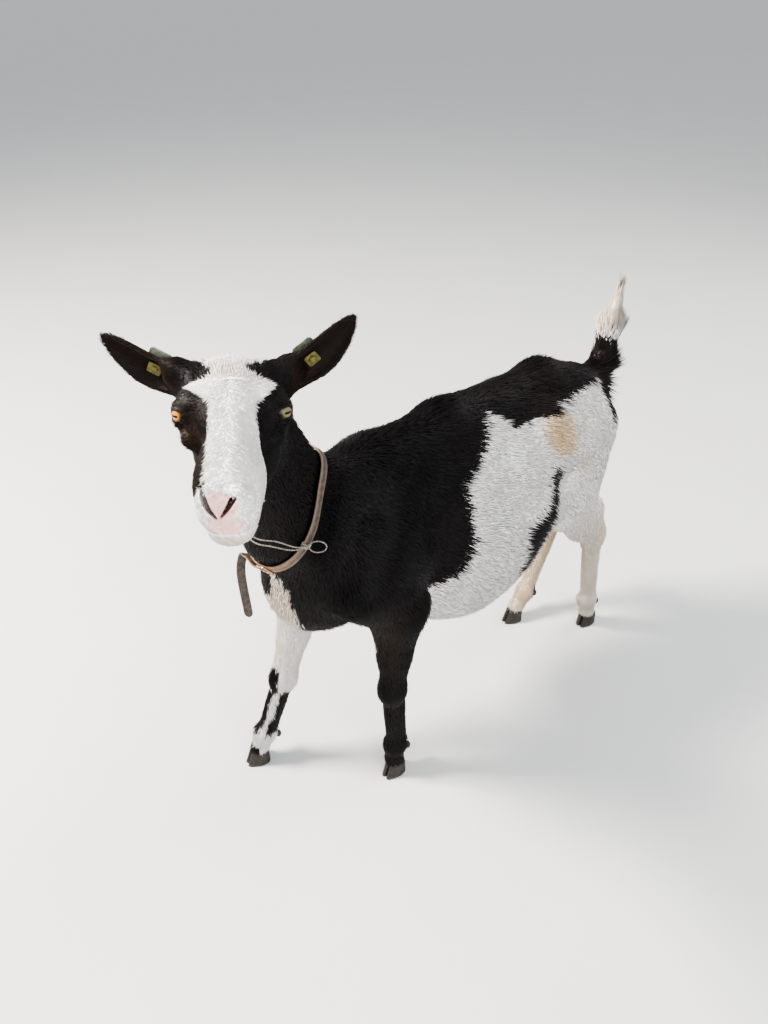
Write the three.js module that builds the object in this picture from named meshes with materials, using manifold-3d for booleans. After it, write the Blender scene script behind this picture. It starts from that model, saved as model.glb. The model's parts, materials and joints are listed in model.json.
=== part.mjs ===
/**
 * A life-size, still model of a standing dairy goat with a leather collar and ear tags, in millimetres.
 *
 * +X is the goat's left, -Y is where its chest faces, +Z is up and the floor is at z = 0.
 * The body is described as flesh: bones and muscles, each a tapered limb or an ellipsoid lump, that melt
 * into one another. Closed skins are wrapped around that flesh, ring by ring, and cut into named solids.
 * The flesh reaches to the tips of the coat.
 */
import * as THREE from 'three';
import { mergeVertices } from 'three/addons/utils/BufferGeometryUtils.js';
import Module from 'manifold-3d';

const wasm = await Module();
wasm.setup();

// ---------------------------------------------------------------- driving dimensions

const GAP = 0.3;                 // clearance between neighbouring solids
const SIDES = { left: 1, right: -1 };

const HEAD_PLACE = { origin: [117, -497, 867], yaw: 57, pitch: -2, roll: 1 };
const HEAD_PARTING = { point: [0, 62, -30], normal: [0, -0.8, 0.6] };    // in the head's own frame
const NECK_PARTING = { point: [0, -290, 640], normal: [0.09, -0.62, 0.78] };
const TAIL_PARTING = { point: [0, 346, 655], normal: [0, 0.83, 0.56] };
const GASKIN_PARTING = { point: [0, 225, 340], normal: [0, 0.8, -0.6] };
const BREAST_HALF_WIDTH = 44;    // flesh between the forelegs that stays with the trunk
const GROIN_HALF_WIDTH = 22;     // flesh between the hind legs that stays with the trunk
const ELBOW_PARTING = { point: [70, -250, 400], normal: [0.6, 0, -0.8] };
const FORELEG_SPAN = { left: [-420, -168], right: [-500, -200] };
const HINDLEG_SPAN = [0, 520];
const FAR = 300;                 // past the body's side

const SHOULDER_WIDTH = 80;       // of the shoulder joint from the middle plane
const FORE_JOINTS = {
  left: { elbow: [92, -222, 415], knee: [96, -240, 240], fetlock: [96, -232, 82], toe: [96, -240, 0] },
  right: { elbow: [-82, -290, 415], knee: [-68, -369, 222], fetlock: [-89, -410, 76], toe: [-95, -434, 0] },
};
const HIND_JOINTS = {
  left: {
    hip: [60, 242, 550], stifle: [88, 216, 440], hock: [64, 352, 284], fetlock: [60, 388, 84],
    toe: [58, 396, 0],
  },
  right: {
    hip: [-60, 236, 550], stifle: [-88, 190, 436], hock: [-62, 382, 266], fetlock: [-60, 306, 72],
    toe: [-60, 264, 0],
  },
};

const CLAW = { length: 50, width: 20, height: 34.7, lean: 0.34, taper: 0.1, apart: 1.2 };
const CORONET_HEIGHT = 35;       // where the pastern's flesh ends above the floor
const HEEL_TO_TOE = 6;           // the pastern meets the floor this far behind the toe's middle
const TOE_OUT = 7;               // degrees that each foot turns outward
const DEWCLAW = { radii: [6.5, 6, 9.5], apart: 12, behind: 23, below: 10 };

const EYE = { radius: 13.5, place: [53, -5, 27], opening: 9, gaze: [0.72, -0.66, 0.12] };
const NOSTRIL = { radii: [3.2, 8, 5], place: [12.5, -155, -5] };
const EAR = { width: 61, thickness: 4.5, root: [46, 57, 37], stub: 20, sag: 11, region: 90 };
const EAR_TIPS = { left: [143, 66, 109], right: [-146, 74, 90] };
const TAG = {
  width: 26, height: 29, thickness: 1.6, corner: 4, along: 0.4, pin: 2.6, lift: 5.5, shift: 8,
  frontShare: 0.6,               // of the rear plate's size
};

const COLLAR = {
  centre: [14, -379, 650], normal: [0, -0.815, 0.58], drape: 4, width: 16, thickness: 3.2,
};
const BUCKLE = { degrees: -80, width: 25, length: 22, wire: 3.6 };
const STRAP_END = { width: 14, thickness: 3, fall: 127 };
const STRAP_END_PATH = [[-92, 0], [-102, 1], [-109, 6], [-113, 13]];    // degrees around the neck, lift
const TWINE = { radius: 1.3, knot: 4.5, loop: 13, slack: 14, facing: [0.8, -0.6, -0.1] };
const TWINE_ENDS = { left: -20, right: -150 };    // degrees around the neck
const TWINE_STRANDS = [    // degrees around the neck and shift towards the head, from left to right
  [[-18, 30], [-18, 62], [-27, 92], [-62, 110], [-104, 112], [-138, 84], [-149, 42]],
  [[-22, 30], [-27, 60], [-37, 81], [-68, 98], [-106, 100], [-132, 76], [-144, 40]],
];

// ---------------------------------------------------------------- vectors and frames

const vector = ([x, y, z]) => new THREE.Vector3(x, y, z);
const plus = (a, b) => a.map((value, axis) => value + b[axis]);
const mirrored = ([x, y, z], side) => [x * SIDES[side], y, z];
const between = (a, b, part) => a.map((value, axis) => value + (b[axis] - value) * part);

/** A matrix that turns about Z (yaw), then X (pitch), then Y (roll), in degrees, and moves to the origin. */
function placeMatrix({ origin, yaw = 0, pitch = 0, roll = 0 }) {
  const turn = new THREE.Euler(...[pitch, roll, yaw].map(THREE.MathUtils.degToRad), 'ZXY');
  return new THREE.Matrix4().makeRotationFromEuler(turn).setPosition(...origin);
}

const BODY = new THREE.Matrix4();
const HEAD = placeMatrix(HEAD_PLACE);

const inHead = (point) => vector(point).applyMatrix4(HEAD);

// ---------------------------------------------------------------- flesh

/** A tapered rod of flesh from one joint to the next. `wide` scales it across the body. */
class Limb {
  constructor(from, to, startRadius, endRadius, { wide = 1 } = {}) {
    this.squeeze = new THREE.Vector3(1 / wide, 1, 1);
    this.start = vector(from).multiply(this.squeeze);
    this.span = vector(to).multiply(this.squeeze).sub(this.start);
    this.startRadius = startRadius;
    this.endRadius = endRadius;
  }

  distance(point) {
    const offset = point.clone().multiply(this.squeeze).sub(this.start);
    const part = THREE.MathUtils.clamp(offset.dot(this.span) / this.span.lengthSq(), 0, 1);
    const radius = THREE.MathUtils.lerp(this.startRadius, this.endRadius, part);
    return offset.addScaledVector(this.span, -part).length() - radius;
  }
}

/** An ellipsoid of flesh. */
class Lump {
  constructor(centre, radii) {
    this.centre = vector(centre);
    this.radii = vector(radii);
  }

  distance(point) {
    const scaled = point.clone().sub(this.centre).divide(this.radii);
    const reach = scaled.length();
    return reach * (reach - 1) / Math.max(scaled.divide(this.radii).length(), 1e-9);
  }
}

/** The smaller of two distances, with a fillet where they are within `blend` of each other. */
function meltedMinimum(a, b, blend) {
  const overlap = Math.max(blend - Math.abs(a - b), 0) / blend;
  return Math.min(a, b) - overlap * overlap * blend / 4;
}

/** All bones and muscles, in the groups that the solids are wrapped around. */
class Flesh {
  constructor() {
    this.pieces = [];
  }

  limb(group, place, blend, ...shape) {
    this.pieces.push({ group, inverse: place.clone().invert(), blend, shape: new Limb(...shape) });
  }

  lump(group, place, blend, ...shape) {
    this.pieces.push({ group, inverse: place.clone().invert(), blend, shape: new Lump(...shape) });
  }

  /** A function that gives the distance from a point to the skin of these groups, negative inside. */
  skinOf(groups) {
    const pieces = this.pieces.filter((piece) => groups.includes(piece.group));
    return (point) => pieces.reduce((nearest, { inverse, blend, shape }) => {
      const distance = shape.distance(point.clone().applyMatrix4(inverse));
      return meltedMinimum(nearest, distance, blend);
    }, 1000);
  }
}

/** Chest, belly, loin and rump. */
function addTrunk(flesh) {
  flesh.lump('trunk', BODY, 40, [0, -170, 545], [88, 158, 150]);
  flesh.lump('trunk', BODY, 50, [0, -30, 520], [126, 190, 168]);
  flesh.lump('trunk', BODY, 60, [0, 18, 472], [150, 165, 138]);
  flesh.lump('trunk', BODY, 60, [0, 2, 396], [116, 164, 151]);
  flesh.lump('trunk', BODY, 45, [0, 120, 488], [106, 160, 124]);
  flesh.lump('trunk', BODY, 60, [0, 125, 612], [80, 190, 86]);
  flesh.lump('trunk', BODY, 60, [0, 240, 592], [76, 118, 92]);
  flesh.limb('trunk', BODY, 60, [0, -250, 648], [0, -60, 680], 32, 26);
  flesh.limb('trunk', BODY, 60, [0, -60, 680], [0, 180, 690], 26, 26);
  flesh.limb('trunk', BODY, 50, [0, 180, 690], [0, 325, 634], 26, 26);
  flesh.lump('trunk', BODY, 50, [-8, -337, 490], [71, 76, 104]);
  flesh.limb('trunk', BODY, 60, [0, -290, 425], [0, -60, 382], 44, 70);
  flesh.lump('trunk', BODY, 30, [0, 245, 440], [40, 50, 46]);
  flesh.limb('trunk', BODY, 40, [0, 300, 605], [0, 284, 500], 36, 36);
  for (const side of Object.values(SIDES)) {
    flesh.limb('trunk', BODY, 60, [side * 74, 140, 646], [side * 78, 176, 636], 18, 18);
    flesh.limb('trunk', BODY, 50, [side * 78, 60, 585], [side * 80, 200, 575], 40, 38);
    flesh.limb('trunk', BODY, 40, [side * 44, 300, 592], [side * 42, 328, 580], 28, 24);
    flesh.limb('trunk', BODY, 50, [side * 44, -205, 640], [side * SHOULDER_WIDTH, -290, 505], 34, 46);
    flesh.lump('trunk', BODY, 50, [side * 78, -235, 515], [44, 78, 95]);
    flesh.limb('trunk', BODY, 50, [side * 100, 70, 500], [side * 86, 196, 474], 36, 27);
  }
}

function addTail(flesh) {
  flesh.limb('tail', BODY, 25, [0, 325, 640], [0, 372, 672], 24, 21);
  flesh.limb('tail', BODY, 15, [0, 372, 672], [0, 378, 735], 22, 24);
  flesh.limb('tail', BODY, 12, [0, 378, 735], [0, 388, 814], 24, 6);
}

/** Crest, middle and throat of the neck, which turns to the goat's left as it rises. */
function addNeck(flesh) {
  flesh.limb('neck', BODY, 40, [0, -225, 645], [10, -333, 688], 46, 33);
  flesh.limb('neck', BODY, 35, [10, -333, 688], [52, -431, 836], 30, 40);
  flesh.limb('neck', BODY, 50, [0, -290, 560], [14, -376, 642], 62, 44, { wide: 1.05 });
  flesh.limb('neck', BODY, 35, [14, -376, 642], [66, -450, 797], 44, 44, { wide: 1.05 });
  flesh.limb('neck', BODY, 40, [0, -345, 530], [14, -396, 620], 54, 46, { wide: 1.12 });
  flesh.limb('neck', BODY, 35, [14, -396, 620], [74, -474, 788], 46, 32);
}

/** Skull, muzzle, jaw, cheeks, orbits and the roots of the ears, in the head's own frame. */
function addHead(flesh) {
  flesh.lump('head', HEAD, 25, [0, 38, 14], [50, 58, 46]);
  flesh.lump('head', HEAD, 25, [0, 2, 24], [44, 52, 32]);
  flesh.limb('head', HEAD, 25, [0, -15, 22], [0, -122, -2], 33, 25, { wide: 0.95 });
  flesh.lump('head', HEAD, 20, [0, -116, -10], [36, 38, 28]);
  flesh.lump('head', HEAD, 14, [0, -138, -24], [30, 22, 18]);
  flesh.limb('head', HEAD, 22, [0, -20, -42], [0, -118, -42], 31, 23, { wide: 1.12 });
  flesh.lump('head', HEAD, 12, [0, -130, -50], [22, 19, 14]);
  flesh.lump('head', HEAD, 20, [0, 56, 50], [40, 28, 16]);
  for (const side of Object.values(SIDES)) {
    flesh.lump('head', HEAD, 25, [side * 28, 18, -22], [24, 50, 42]);
    flesh.lump('head', HEAD, 25, [side * 28, 46, -36], [20, 26, 28]);
    flesh.lump('head', HEAD, 10, [side * 14, -146, -4], [12, 12, 13]);
    flesh.lump('head', HEAD, 16, [side * 46, 4, 25], [17, 25, 21]);
    flesh.lump('head', HEAD, 18, [side * 42, 6, 42], [14, 22, 9]);
    flesh.limb('head', HEAD, 16, [side * 46, -22, 4], [side * 48, 26, 4], 11, 11);
    flesh.limb('head', HEAD, 22, [side * 36, 52, 28], [side * 64, 60, 48], 24, 19);
  }
}

/** From the fetlock joint down, which is the same in a foreleg and a hind leg. */
function addPastern(flesh, group, { fetlock, toe }) {
  flesh.lump(group, BODY, 15, fetlock, [20, 22, 21]);
  flesh.limb(group, BODY, 12, fetlock, plus(toe, [0, HEEL_TO_TOE, 24]), 17, 20);
}

/** The shank and the tendons behind it, from one joint to the fetlock. */
function addCannon(flesh, group, joint, fetlock, tendonOffset) {
  flesh.limb(group, BODY, 14, joint, fetlock, 20, 16);
  const tendonTop = plus(between(joint, fetlock, 0.06), [0, tendonOffset, 0]);
  const tendonEnd = plus(between(joint, fetlock, 0.9), [0, 14, 0]);
  flesh.limb(group, BODY, 14, tendonTop, tendonEnd, 10, 10);
}

function addForeleg(flesh, side, { elbow, knee, fetlock, toe }) {
  const group = `foreleg_${side}`;
  const shoulder = [SIDES[side] * SHOULDER_WIDTH, -290, 505];
  flesh.limb('shoulder', BODY, 45, shoulder, elbow, 50, 40);
  flesh.limb('shoulder', BODY, 30, plus(elbow, [0, 30, 8]), elbow, 17, 22);
  flesh.limb(group, BODY, 30, elbow, knee, 41, 23, { wide: 0.9 });
  const muscleEnd = between(plus(elbow, [0, -8, 0]), knee, 0.55);
  flesh.limb(group, BODY, 25, plus(elbow, [0, -16, -4]), muscleEnd, 34, 22);
  flesh.lump(group, BODY, 18, knee, [22, 24, 29]);
  addCannon(flesh, group, knee, fetlock, 15);
  addPastern(flesh, group, { fetlock, toe });
}

function addHindleg(flesh, side, { hip, stifle, hock, fetlock, toe }) {
  const group = `hindleg_${side}`;
  const buttock = [SIDES[side] * 50, 296, 560];
  flesh.limb('thigh', BODY, 50, hip, between(hip, stifle, 0.85), 78, 54, { wide: 0.62 });
  flesh.limb('thigh', BODY, 50, buttock, between(stifle, hock, 0.5), 44, 32, { wide: 0.8 });
  flesh.limb('thigh', BODY, 35, stifle, hock, 46, 24, { wide: 0.8 });
  const tendon = plus(between(stifle, hock, 0.45), [0, 34, 18]);
  flesh.limb(group, BODY, 30, tendon, plus(hock, [0, 22, 16]), 24, 11, { wide: 0.8 });
  flesh.lump(group, BODY, 20, plus(hock, [0, 6, 2]), [19, 27, 32]);
  addCannon(flesh, group, hock, fetlock, 18);
  addPastern(flesh, group, { fetlock, toe });
}

function makeFlesh() {
  const flesh = new Flesh();
  addTrunk(flesh);
  addTail(flesh);
  for (const side of Object.keys(SIDES)) {
    addForeleg(flesh, side, FORE_JOINTS[side]);
    addHindleg(flesh, side, HIND_JOINTS[side]);
  }
  addNeck(flesh);
  addHead(flesh);
  return flesh;
}

// ---------------------------------------------------------------- skins wrapped around the flesh

const CAST_STEPS = 48;
const CAST_CARE = 0.8;           // share of the measured distance that one step goes

/** Goes from a point inside the flesh to its skin, but no further than `reach`. */
function castOut(distance, origin, direction, reach) {
  let travelled = 0;
  for (let step = 0; step < CAST_STEPS; step += 1) {
    const depth = -distance(origin.clone().addScaledVector(direction, travelled));
    travelled = THREE.MathUtils.clamp(travelled + depth * CAST_CARE, 0, reach);
  }
  return origin.clone().addScaledVector(direction, travelled);
}

/** The directions around a tangent: `across` is as near to X (or the given side) as it can be. */
function ringFrame(tangent, side = new THREE.Vector3(1, 0, 0)) {
  const across = side.clone().addScaledVector(tangent, -side.dot(tangent)).normalize();
  return { across, rise: tangent.clone().cross(across) };
}

/** An indexed closed geometry from rings of equal size, from first to last, and a point at each end. */
function geometryFromRings(rings, startPoint, endPoint) {
  const around = rings[0].length;
  const start = rings.length * around;
  const index = [];
  const at = (ring, spoke) => ring * around + (spoke % around);
  for (let spoke = 0; spoke < around; spoke += 1) {
    index.push(start, at(0, spoke + 1), at(0, spoke));
    index.push(start + 1, at(rings.length - 1, spoke), at(rings.length - 1, spoke + 1));
    for (let ring = 0; ring < rings.length - 1; ring += 1) {
      index.push(at(ring, spoke), at(ring, spoke + 1), at(ring + 1, spoke + 1));
      index.push(at(ring, spoke), at(ring + 1, spoke + 1), at(ring + 1, spoke));
    }
  }
  const geometry = new THREE.BufferGeometry().setFromPoints([...rings.flat(), startPoint, endPoint]);
  return geometry.setIndex(index);
}

/**
 * Wraps a closed skin around an axis that runs inside the flesh.
 * A round end is closed by `domes` more rings that lean out from the axis' end to a pole.
 * Other ends are flat.
 */
function wrap(distance, { axis, rings, around, reach, side, startDomes = 0, endDomes = 0 }) {
  const curve = new THREE.CatmullRomCurve3(axis.map((point) => (point.isVector3 ? point : vector(point))));
  const castRing = (part, lean) => {
    const tangent = curve.getTangentAt(part);
    const { across, rise } = ringFrame(tangent, side);
    return Array.from({ length: around }, (_, spoke) => {
      const angle = 2 * Math.PI * spoke / around;
      const level = Math.cos(lean);
      const direction = tangent.clone().multiplyScalar(Math.sin(lean))
        .addScaledVector(across, Math.cos(angle) * level)
        .addScaledVector(rise, Math.sin(angle) * level);
      return castOut(distance, curve.getPointAt(part), direction, reach);
    });
  };
  const castPole = (part, sign) => (
    castOut(distance, curve.getPointAt(part), curve.getTangentAt(part).multiplyScalar(sign), reach));
  const skin = [];
  for (let dome = startDomes; dome > 0; dome -= 1) {
    skin.push(castRing(0, -Math.PI / 2 * dome / (startDomes + 1)));
  }
  for (let ring = 0; ring <= rings; ring += 1) {
    skin.push(castRing(ring / rings, 0));
  }
  for (let dome = 1; dome <= endDomes; dome += 1) {
    skin.push(castRing(1, Math.PI / 2 * dome / (endDomes + 1)));
  }
  const start = startDomes ? castPole(0, -1) : curve.getPointAt(0);
  const end = endDomes ? castPole(1, 1) : curve.getPointAt(1);
  return geometryFromRings(skin, start, end);
}

// ---------------------------------------------------------------- joining and cutting

/** A solid that manifold-3d can join and cut, from a closed geometry. */
function toSolid(geometry, matrix = BODY) {
  const bare = geometry.clone().applyMatrix4(matrix);
  bare.deleteAttribute('normal');
  bare.deleteAttribute('uv');
  const merged = mergeVertices(bare);
  const vertProperties = new Float32Array(merged.attributes.position.array);
  const triVerts = new Uint32Array(merged.index.array);
  return new wasm.Manifold(new wasm.Mesh({ numProp: 3, vertProperties, triVerts }));
}

/** A geometry with the faces of a joined or cut solid. */
function toGeometry(solid) {
  const { vertProperties, triVerts } = solid.getMesh();
  const geometry = new THREE.BufferGeometry();
  geometry.setAttribute('position', new THREE.BufferAttribute(new Float32Array(vertProperties), 3));
  geometry.setIndex(new THREE.BufferAttribute(new Uint32Array(triVerts), 1));
  geometry.computeVertexNormals();
  return geometry;
}

const CUTTER_SIZE = 1600;

/** Everything on the normal's side of a parting plane, less half a gap. */
function beyond({ point, normal }, place = BODY, sign = 1) {
  const outward = vector(normal).transformDirection(place).multiplyScalar(sign);
  const centre = vector(point).applyMatrix4(place).addScaledVector(outward, CUTTER_SIZE / 2 + GAP / 2);
  const turn = new THREE.Quaternion().setFromUnitVectors(new THREE.Vector3(0, 0, 1), outward);
  const matrix = new THREE.Matrix4().compose(centre, turn, new THREE.Vector3(1, 1, 1));
  return toSolid(new THREE.BoxGeometry(CUTTER_SIZE, CUTTER_SIZE, CUTTER_SIZE), matrix);
}

const behind = (plane, place = BODY) => beyond(plane, place, -1);

/** A box between two corners, grown by `extra` on every side. */
function boxBetween(low, high, extra = 0) {
  const size = high.map((value, axis) => value - low[axis] + 2 * extra);
  const centre = between(low, high, 0.5);
  return toSolid(new THREE.BoxGeometry(...size), new THREE.Matrix4().setPosition(...centre));
}

function ellipsoid(radii, matrix, extra = 0, segments = 12) {
  const geometry = new THREE.SphereGeometry(1, segments, Math.round(segments * 0.7));
  geometry.scale(...radii.map((radius) => radius + extra));
  return toSolid(geometry, matrix);
}

// ---------------------------------------------------------------- regions of the flesh

/** The part of a slab past a parting plane, on one side of the body, grown by `extra`. */
function legRegion(side, { point, normal }, halfWidth, [front, rear], extra) {
  const near = halfWidth - extra;
  const corners = SIDES[side] > 0 ? [near, FAR] : [-FAR, -near];
  const slab = boxBetween([corners[0], front - extra, -FAR], [corners[1], rear + extra, 2 * FAR]);
  const outward = [SIDES[side] * normal[0], normal[1], normal[2]];
  const start = mirrored(point, side).map((value, axis) => value - outward[axis] * extra);
  return slab.intersect(beyond({ point: start, normal: outward }));
}

const forelegRegion = (side, extra) => (
  legRegion(side, ELBOW_PARTING, BREAST_HALF_WIDTH, FORELEG_SPAN[side], extra));

const hindlegRegion = (side, extra) => (
  legRegion(side, GASKIN_PARTING, GROIN_HALF_WIDTH, HINDLEG_SPAN, extra));

/** The flesh above or below a level, less half a gap. */
const above = (level) => beyond({ point: [0, 0, level], normal: [0, 0, 1] });
const below = (level) => beyond({ point: [0, 0, level], normal: [0, 0, -1] });

// ---------------------------------------------------------------- the body's solids

function makeTrunk(flesh) {
  const skin = flesh.skinOf(['trunk', 'shoulder', 'thigh', 'tail', 'neck']);
  const axis = [
    [0, 270, 560], [0, 160, 560], [0, 40, 530], [0, -90, 535], [0, -190, 565], [0, -265, 615],
    [6, -335, 690],
  ];
  const wrapped = wrap(skin, { axis, rings: 21, around: 26, reach: 330, startDomes: 4 });
  let solid = toSolid(wrapped).intersect(behind(NECK_PARTING)).intersect(behind(TAIL_PARTING));
  for (const side of Object.keys(SIDES)) {
    solid = solid.subtract(forelegRegion(side, GAP)).subtract(hindlegRegion(side, GAP));
  }
  return solid;
}

function makeNeck(flesh) {
  const skin = flesh.skinOf(['trunk', 'shoulder', 'neck', 'head']);
  const axis = [[0, -215, 585], [0, -285, 640], [12, -365, 700], [44, -425, 780], [82, -465, 850]];
  const wrapped = wrap(skin, { axis, rings: 11, around: 20, reach: 190 });
  return toSolid(wrapped).intersect(beyond(NECK_PARTING)).intersect(behind(HEAD_PARTING, HEAD));
}

function makeHead(flesh) {
  const skin = flesh.skinOf(['head', 'neck']);
  const axis = [[0, 92, -10], [0, 60, 2], [0, 20, 6], [0, -40, -4], [0, -132, -26]].map(inHead);
  const side = new THREE.Vector3(1, 0, 0).transformDirection(HEAD);
  const wrapped = wrap(skin, { axis, rings: 18, around: 22, reach: 120, side, endDomes: 3 });
  let solid = toSolid(wrapped).intersect(beyond(HEAD_PARTING, HEAD));
  for (const name of Object.keys(SIDES)) {
    solid = solid.subtract(eyeball(name, GAP + 0.1)).subtract(eyeOpening(name));
    solid = solid.subtract(nostril(name)).subtract(earRegion(name));
  }
  return solid;
}

function makeTail(flesh) {
  const skin = flesh.skinOf(['tail', 'trunk']);
  const axis = [[0, 332, 645], [0, 356, 658], [0, 373, 684], [0, 379, 735], [0, 387, 806]];
  const wrapped = wrap(skin, { axis, rings: 9, around: 10, reach: 40, endDomes: 2 });
  return toSolid(wrapped).intersect(beyond(TAIL_PARTING));
}

/** A leg's flesh from inside the trunk to below its coronet. */
function wrapLeg(flesh, group, axis, reach) {
  const skin = flesh.skinOf(['trunk', 'shoulder', 'thigh', group]);
  return toSolid(wrap(skin, { axis, rings: 20, around: 10, reach })).intersect(above(CORONET_HEIGHT));
}

const soleEnd = (toe) => plus(toe, [0, HEEL_TO_TOE, 24]);

/** Forearm, then shank and pastern, parted at the middle of the knee. */
function makeForeleg(flesh, side) {
  const { elbow, knee, fetlock, toe } = FORE_JOINTS[side];
  const axis = [plus(elbow, [0, -6, 30]), elbow, between(elbow, knee, 0.5), knee, fetlock, soleEnd(toe)];
  const whole = wrapLeg(flesh, `foreleg_${side}`, axis, 62).intersect(forelegRegion(side, 0));
  const feet = dewclaws(fetlock, GAP);
  return { upper: whole.intersect(above(knee[2])), lower: whole.intersect(below(knee[2])).subtract(feet) };
}

/** Gaskin, then shank and pastern, parted at the hock. */
function makeHindleg(flesh, side) {
  const { stifle, hock, fetlock, toe } = HIND_JOINTS[side];
  const axis = [between(stifle, hock, 0.15), between(stifle, hock, 0.6), hock, fetlock, soleEnd(toe)];
  const whole = wrapLeg(flesh, `hindleg_${side}`, axis, 84).intersect(hindlegRegion(side, 0));
  const feet = dewclaws(fetlock, GAP);
  return { upper: whole.intersect(above(hock[2])), lower: whole.intersect(below(hock[2])).subtract(feet) };
}

// ---------------------------------------------------------------- eyes, nostrils and ears

function headMatrix(point) {
  return HEAD.clone().multiply(new THREE.Matrix4().setPosition(...point));
}

const eyeball = (side, extra = 0) => (
  ellipsoid([EYE.radius, EYE.radius, EYE.radius], headMatrix(mirrored(EYE.place, side)), extra, 12));

/** The gap between the lids, in front of the eyeball. */
function eyeOpening(side) {
  const place = mirrored(EYE.place.map((value, axis) => value + EYE.gaze[axis] * EYE.radius), side);
  return ellipsoid([EYE.opening, EYE.opening, EYE.opening], headMatrix(place), 0, 10);
}

const nostril = (side) => ellipsoid(NOSTRIL.radii, headMatrix(mirrored(NOSTRIL.place, side)), 0, 8);

/** The ear's root, tip and directions in the body's frame. `front` is the way the hollow faces. */
function earFrame(side) {
  const root = inHead(mirrored(EAR.root, side));
  const tip = inHead(EAR_TIPS[side]);
  const along = tip.clone().sub(root).normalize();
  const forward = vector([0, -1, -0.35]).transformDirection(HEAD);
  const front = forward.addScaledVector(along, -forward.dot(along)).normalize();
  return { root, tip, along, front, up: front.clone().cross(along).multiplyScalar(SIDES[side]) };
}

/** Everything past the ear's root, where the ear replaces the flesh. */
function earRegion(side) {
  const { root, along } = earFrame(side);
  const centre = root.clone().addScaledVector(along, EAR.stub + EAR.region / 2);
  const turn = new THREE.Quaternion().setFromUnitVectors(new THREE.Vector3(0, 0, 1), along);
  const matrix = new THREE.Matrix4().compose(centre, turn, new THREE.Vector3(1, 1, 1));
  return toSolid(new THREE.BoxGeometry(EAR.region, EAR.region, EAR.region), matrix);
}

/** Half the ear's width at a part of its length: a leaf with a pointed tip. */
const earHalfWidth = (part) => (
  EAR.width / 2 * (0.74 + 0.75 * part - 0.95 * part ** 2) * Math.sqrt(1 - part ** 4));

/** How far the ear's edges roll forward, in radians from its middle: most at the root. */
const earRoll = (part) => THREE.MathUtils.lerp(1.6, 0.75, Math.sqrt(part));

/**
 * A point of the ear.
 * `part` runs from root to tip, `across` from edge to edge, and `lift` is off the back face.
 */
function earPoint(side, part, across, lift) {
  const { root, tip, along, front, up } = earFrame(side);
  const start = root.clone().addScaledVector(along, EAR.stub + GAP);
  const middle = start.lerp(tip, part).addScaledVector(up, -EAR.sag * Math.sin(Math.PI * part));
  const roll = earRoll(part);
  const radius = earHalfWidth(part) / Math.min(roll, 1.35);
  const angle = across * roll;
  const depth = radius - (radius - lift) * Math.cos(angle);
  return middle.addScaledVector(front, depth - radius * 0.3)
    .addScaledVector(up, (radius - lift) * Math.sin(angle));
}

/** A cupped leaf, thick at its root and thin at its rim. */
function makeEar(side) {
  const spokes = 4;
  const stations = 10;
  const rings = [];
  for (let station = 0; station < stations; station += 1) {
    const part = 0.97 * station / (stations - 1);
    const thickness = EAR.thickness * (1 - 0.5 * part);
    const ring = [];
    for (let spoke = -spokes; spoke <= spokes; spoke += 1) {
      ring.push(earPoint(side, part, spoke / spokes, 0));
    }
    for (let spoke = spokes - 1; spoke >= 1 - spokes; spoke -= 1) {
      ring.push(earPoint(side, part, spoke / spokes, thickness * (1 - (spoke / spokes) ** 4)));
    }
    rings.push(SIDES[side] > 0 ? ring : ring.reverse());
  }
  const start = earPoint(side, 0, 0, EAR.thickness / 2);
  return toSolid(geometryFromRings(rings, start, earPoint(side, 1, 0, 1)));
}

/** A matrix at the tag's pin: X runs up across the ear, Y along it and Z out of its hollow. */
function tagMatrix(side) {
  const { along, front, up } = earFrame(side);
  const place = earPoint(side, TAG.along, 0, EAR.thickness / 2);
  const across = up.clone().multiplyScalar(-SIDES[side]);
  return new THREE.Matrix4().makeBasis(across, along, front).setPosition(place);
}

/** A tag's plate with round corners, moved across the ear and off its middle. */
function tagPlate(share, shift, lift, matrix) {
  const options = { depth: TAG.thickness, bevelEnabled: false, curveSegments: 2 };
  const outline = roundedRectangle(TAG.width * share, TAG.height * share, TAG.corner);
  const plate = new THREE.ExtrudeGeometry(outline, options);
  return toSolid(plate.translate(shift, 0, lift - TAG.thickness / 2), matrix);
}

/** The plate behind the ear, the smaller one in its hollow and their pin, or the pin's hole. */
function makeTag(side, extra) {
  const matrix = tagMatrix(side);
  const radius = TAG.pin + extra;
  const pin = new THREE.CylinderGeometry(radius, radius, 2 * TAG.lift, 8).rotateX(Math.PI / 2);
  const solid = toSolid(pin, matrix);
  if (extra > 0) {
    return solid;
  }
  const rear = tagPlate(1, -SIDES[side] * TAG.shift, -TAG.lift, matrix);
  const front = tagPlate(TAG.frontShare, 0, TAG.lift, matrix);
  return solid.add(rear).add(front);
}

// ---------------------------------------------------------------- feet

/** One toe's claw, outer wall towards +X: a flat sole, a sloping front and a straight inner wall. */
function clawGeometry() {
  const { length, width, height, lean, taper } = CLAW;
  const outline = new THREE.Shape();
  outline.moveTo(0, length * 0.36);
  outline.lineTo(0, -length * 0.44);
  outline.quadraticCurveTo(width * 0.28, -length * 0.66, width * 0.62, -length * 0.36);
  outline.quadraticCurveTo(width * 1.12, 0, width * 0.92, length * 0.28);
  outline.quadraticCurveTo(width * 0.5, length * 0.46, 0, length * 0.36);
  const options = { depth: height, steps: 2, bevelEnabled: false, curveSegments: 3 };
  const claw = new THREE.ExtrudeGeometry(outline, options);
  const position = claw.attributes.position;
  for (let vertex = 0; vertex < position.count; vertex += 1) {
    const [x, y, z] = [position.getX(vertex), position.getY(vertex), position.getZ(vertex)];
    const narrow = 1 - taper * z / height;
    const front = THREE.MathUtils.clamp(-y / (length / 2), 0, 1);
    position.setXYZ(vertex, x * narrow, y + lean * z * front, z);
  }
  return claw;
}

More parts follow.
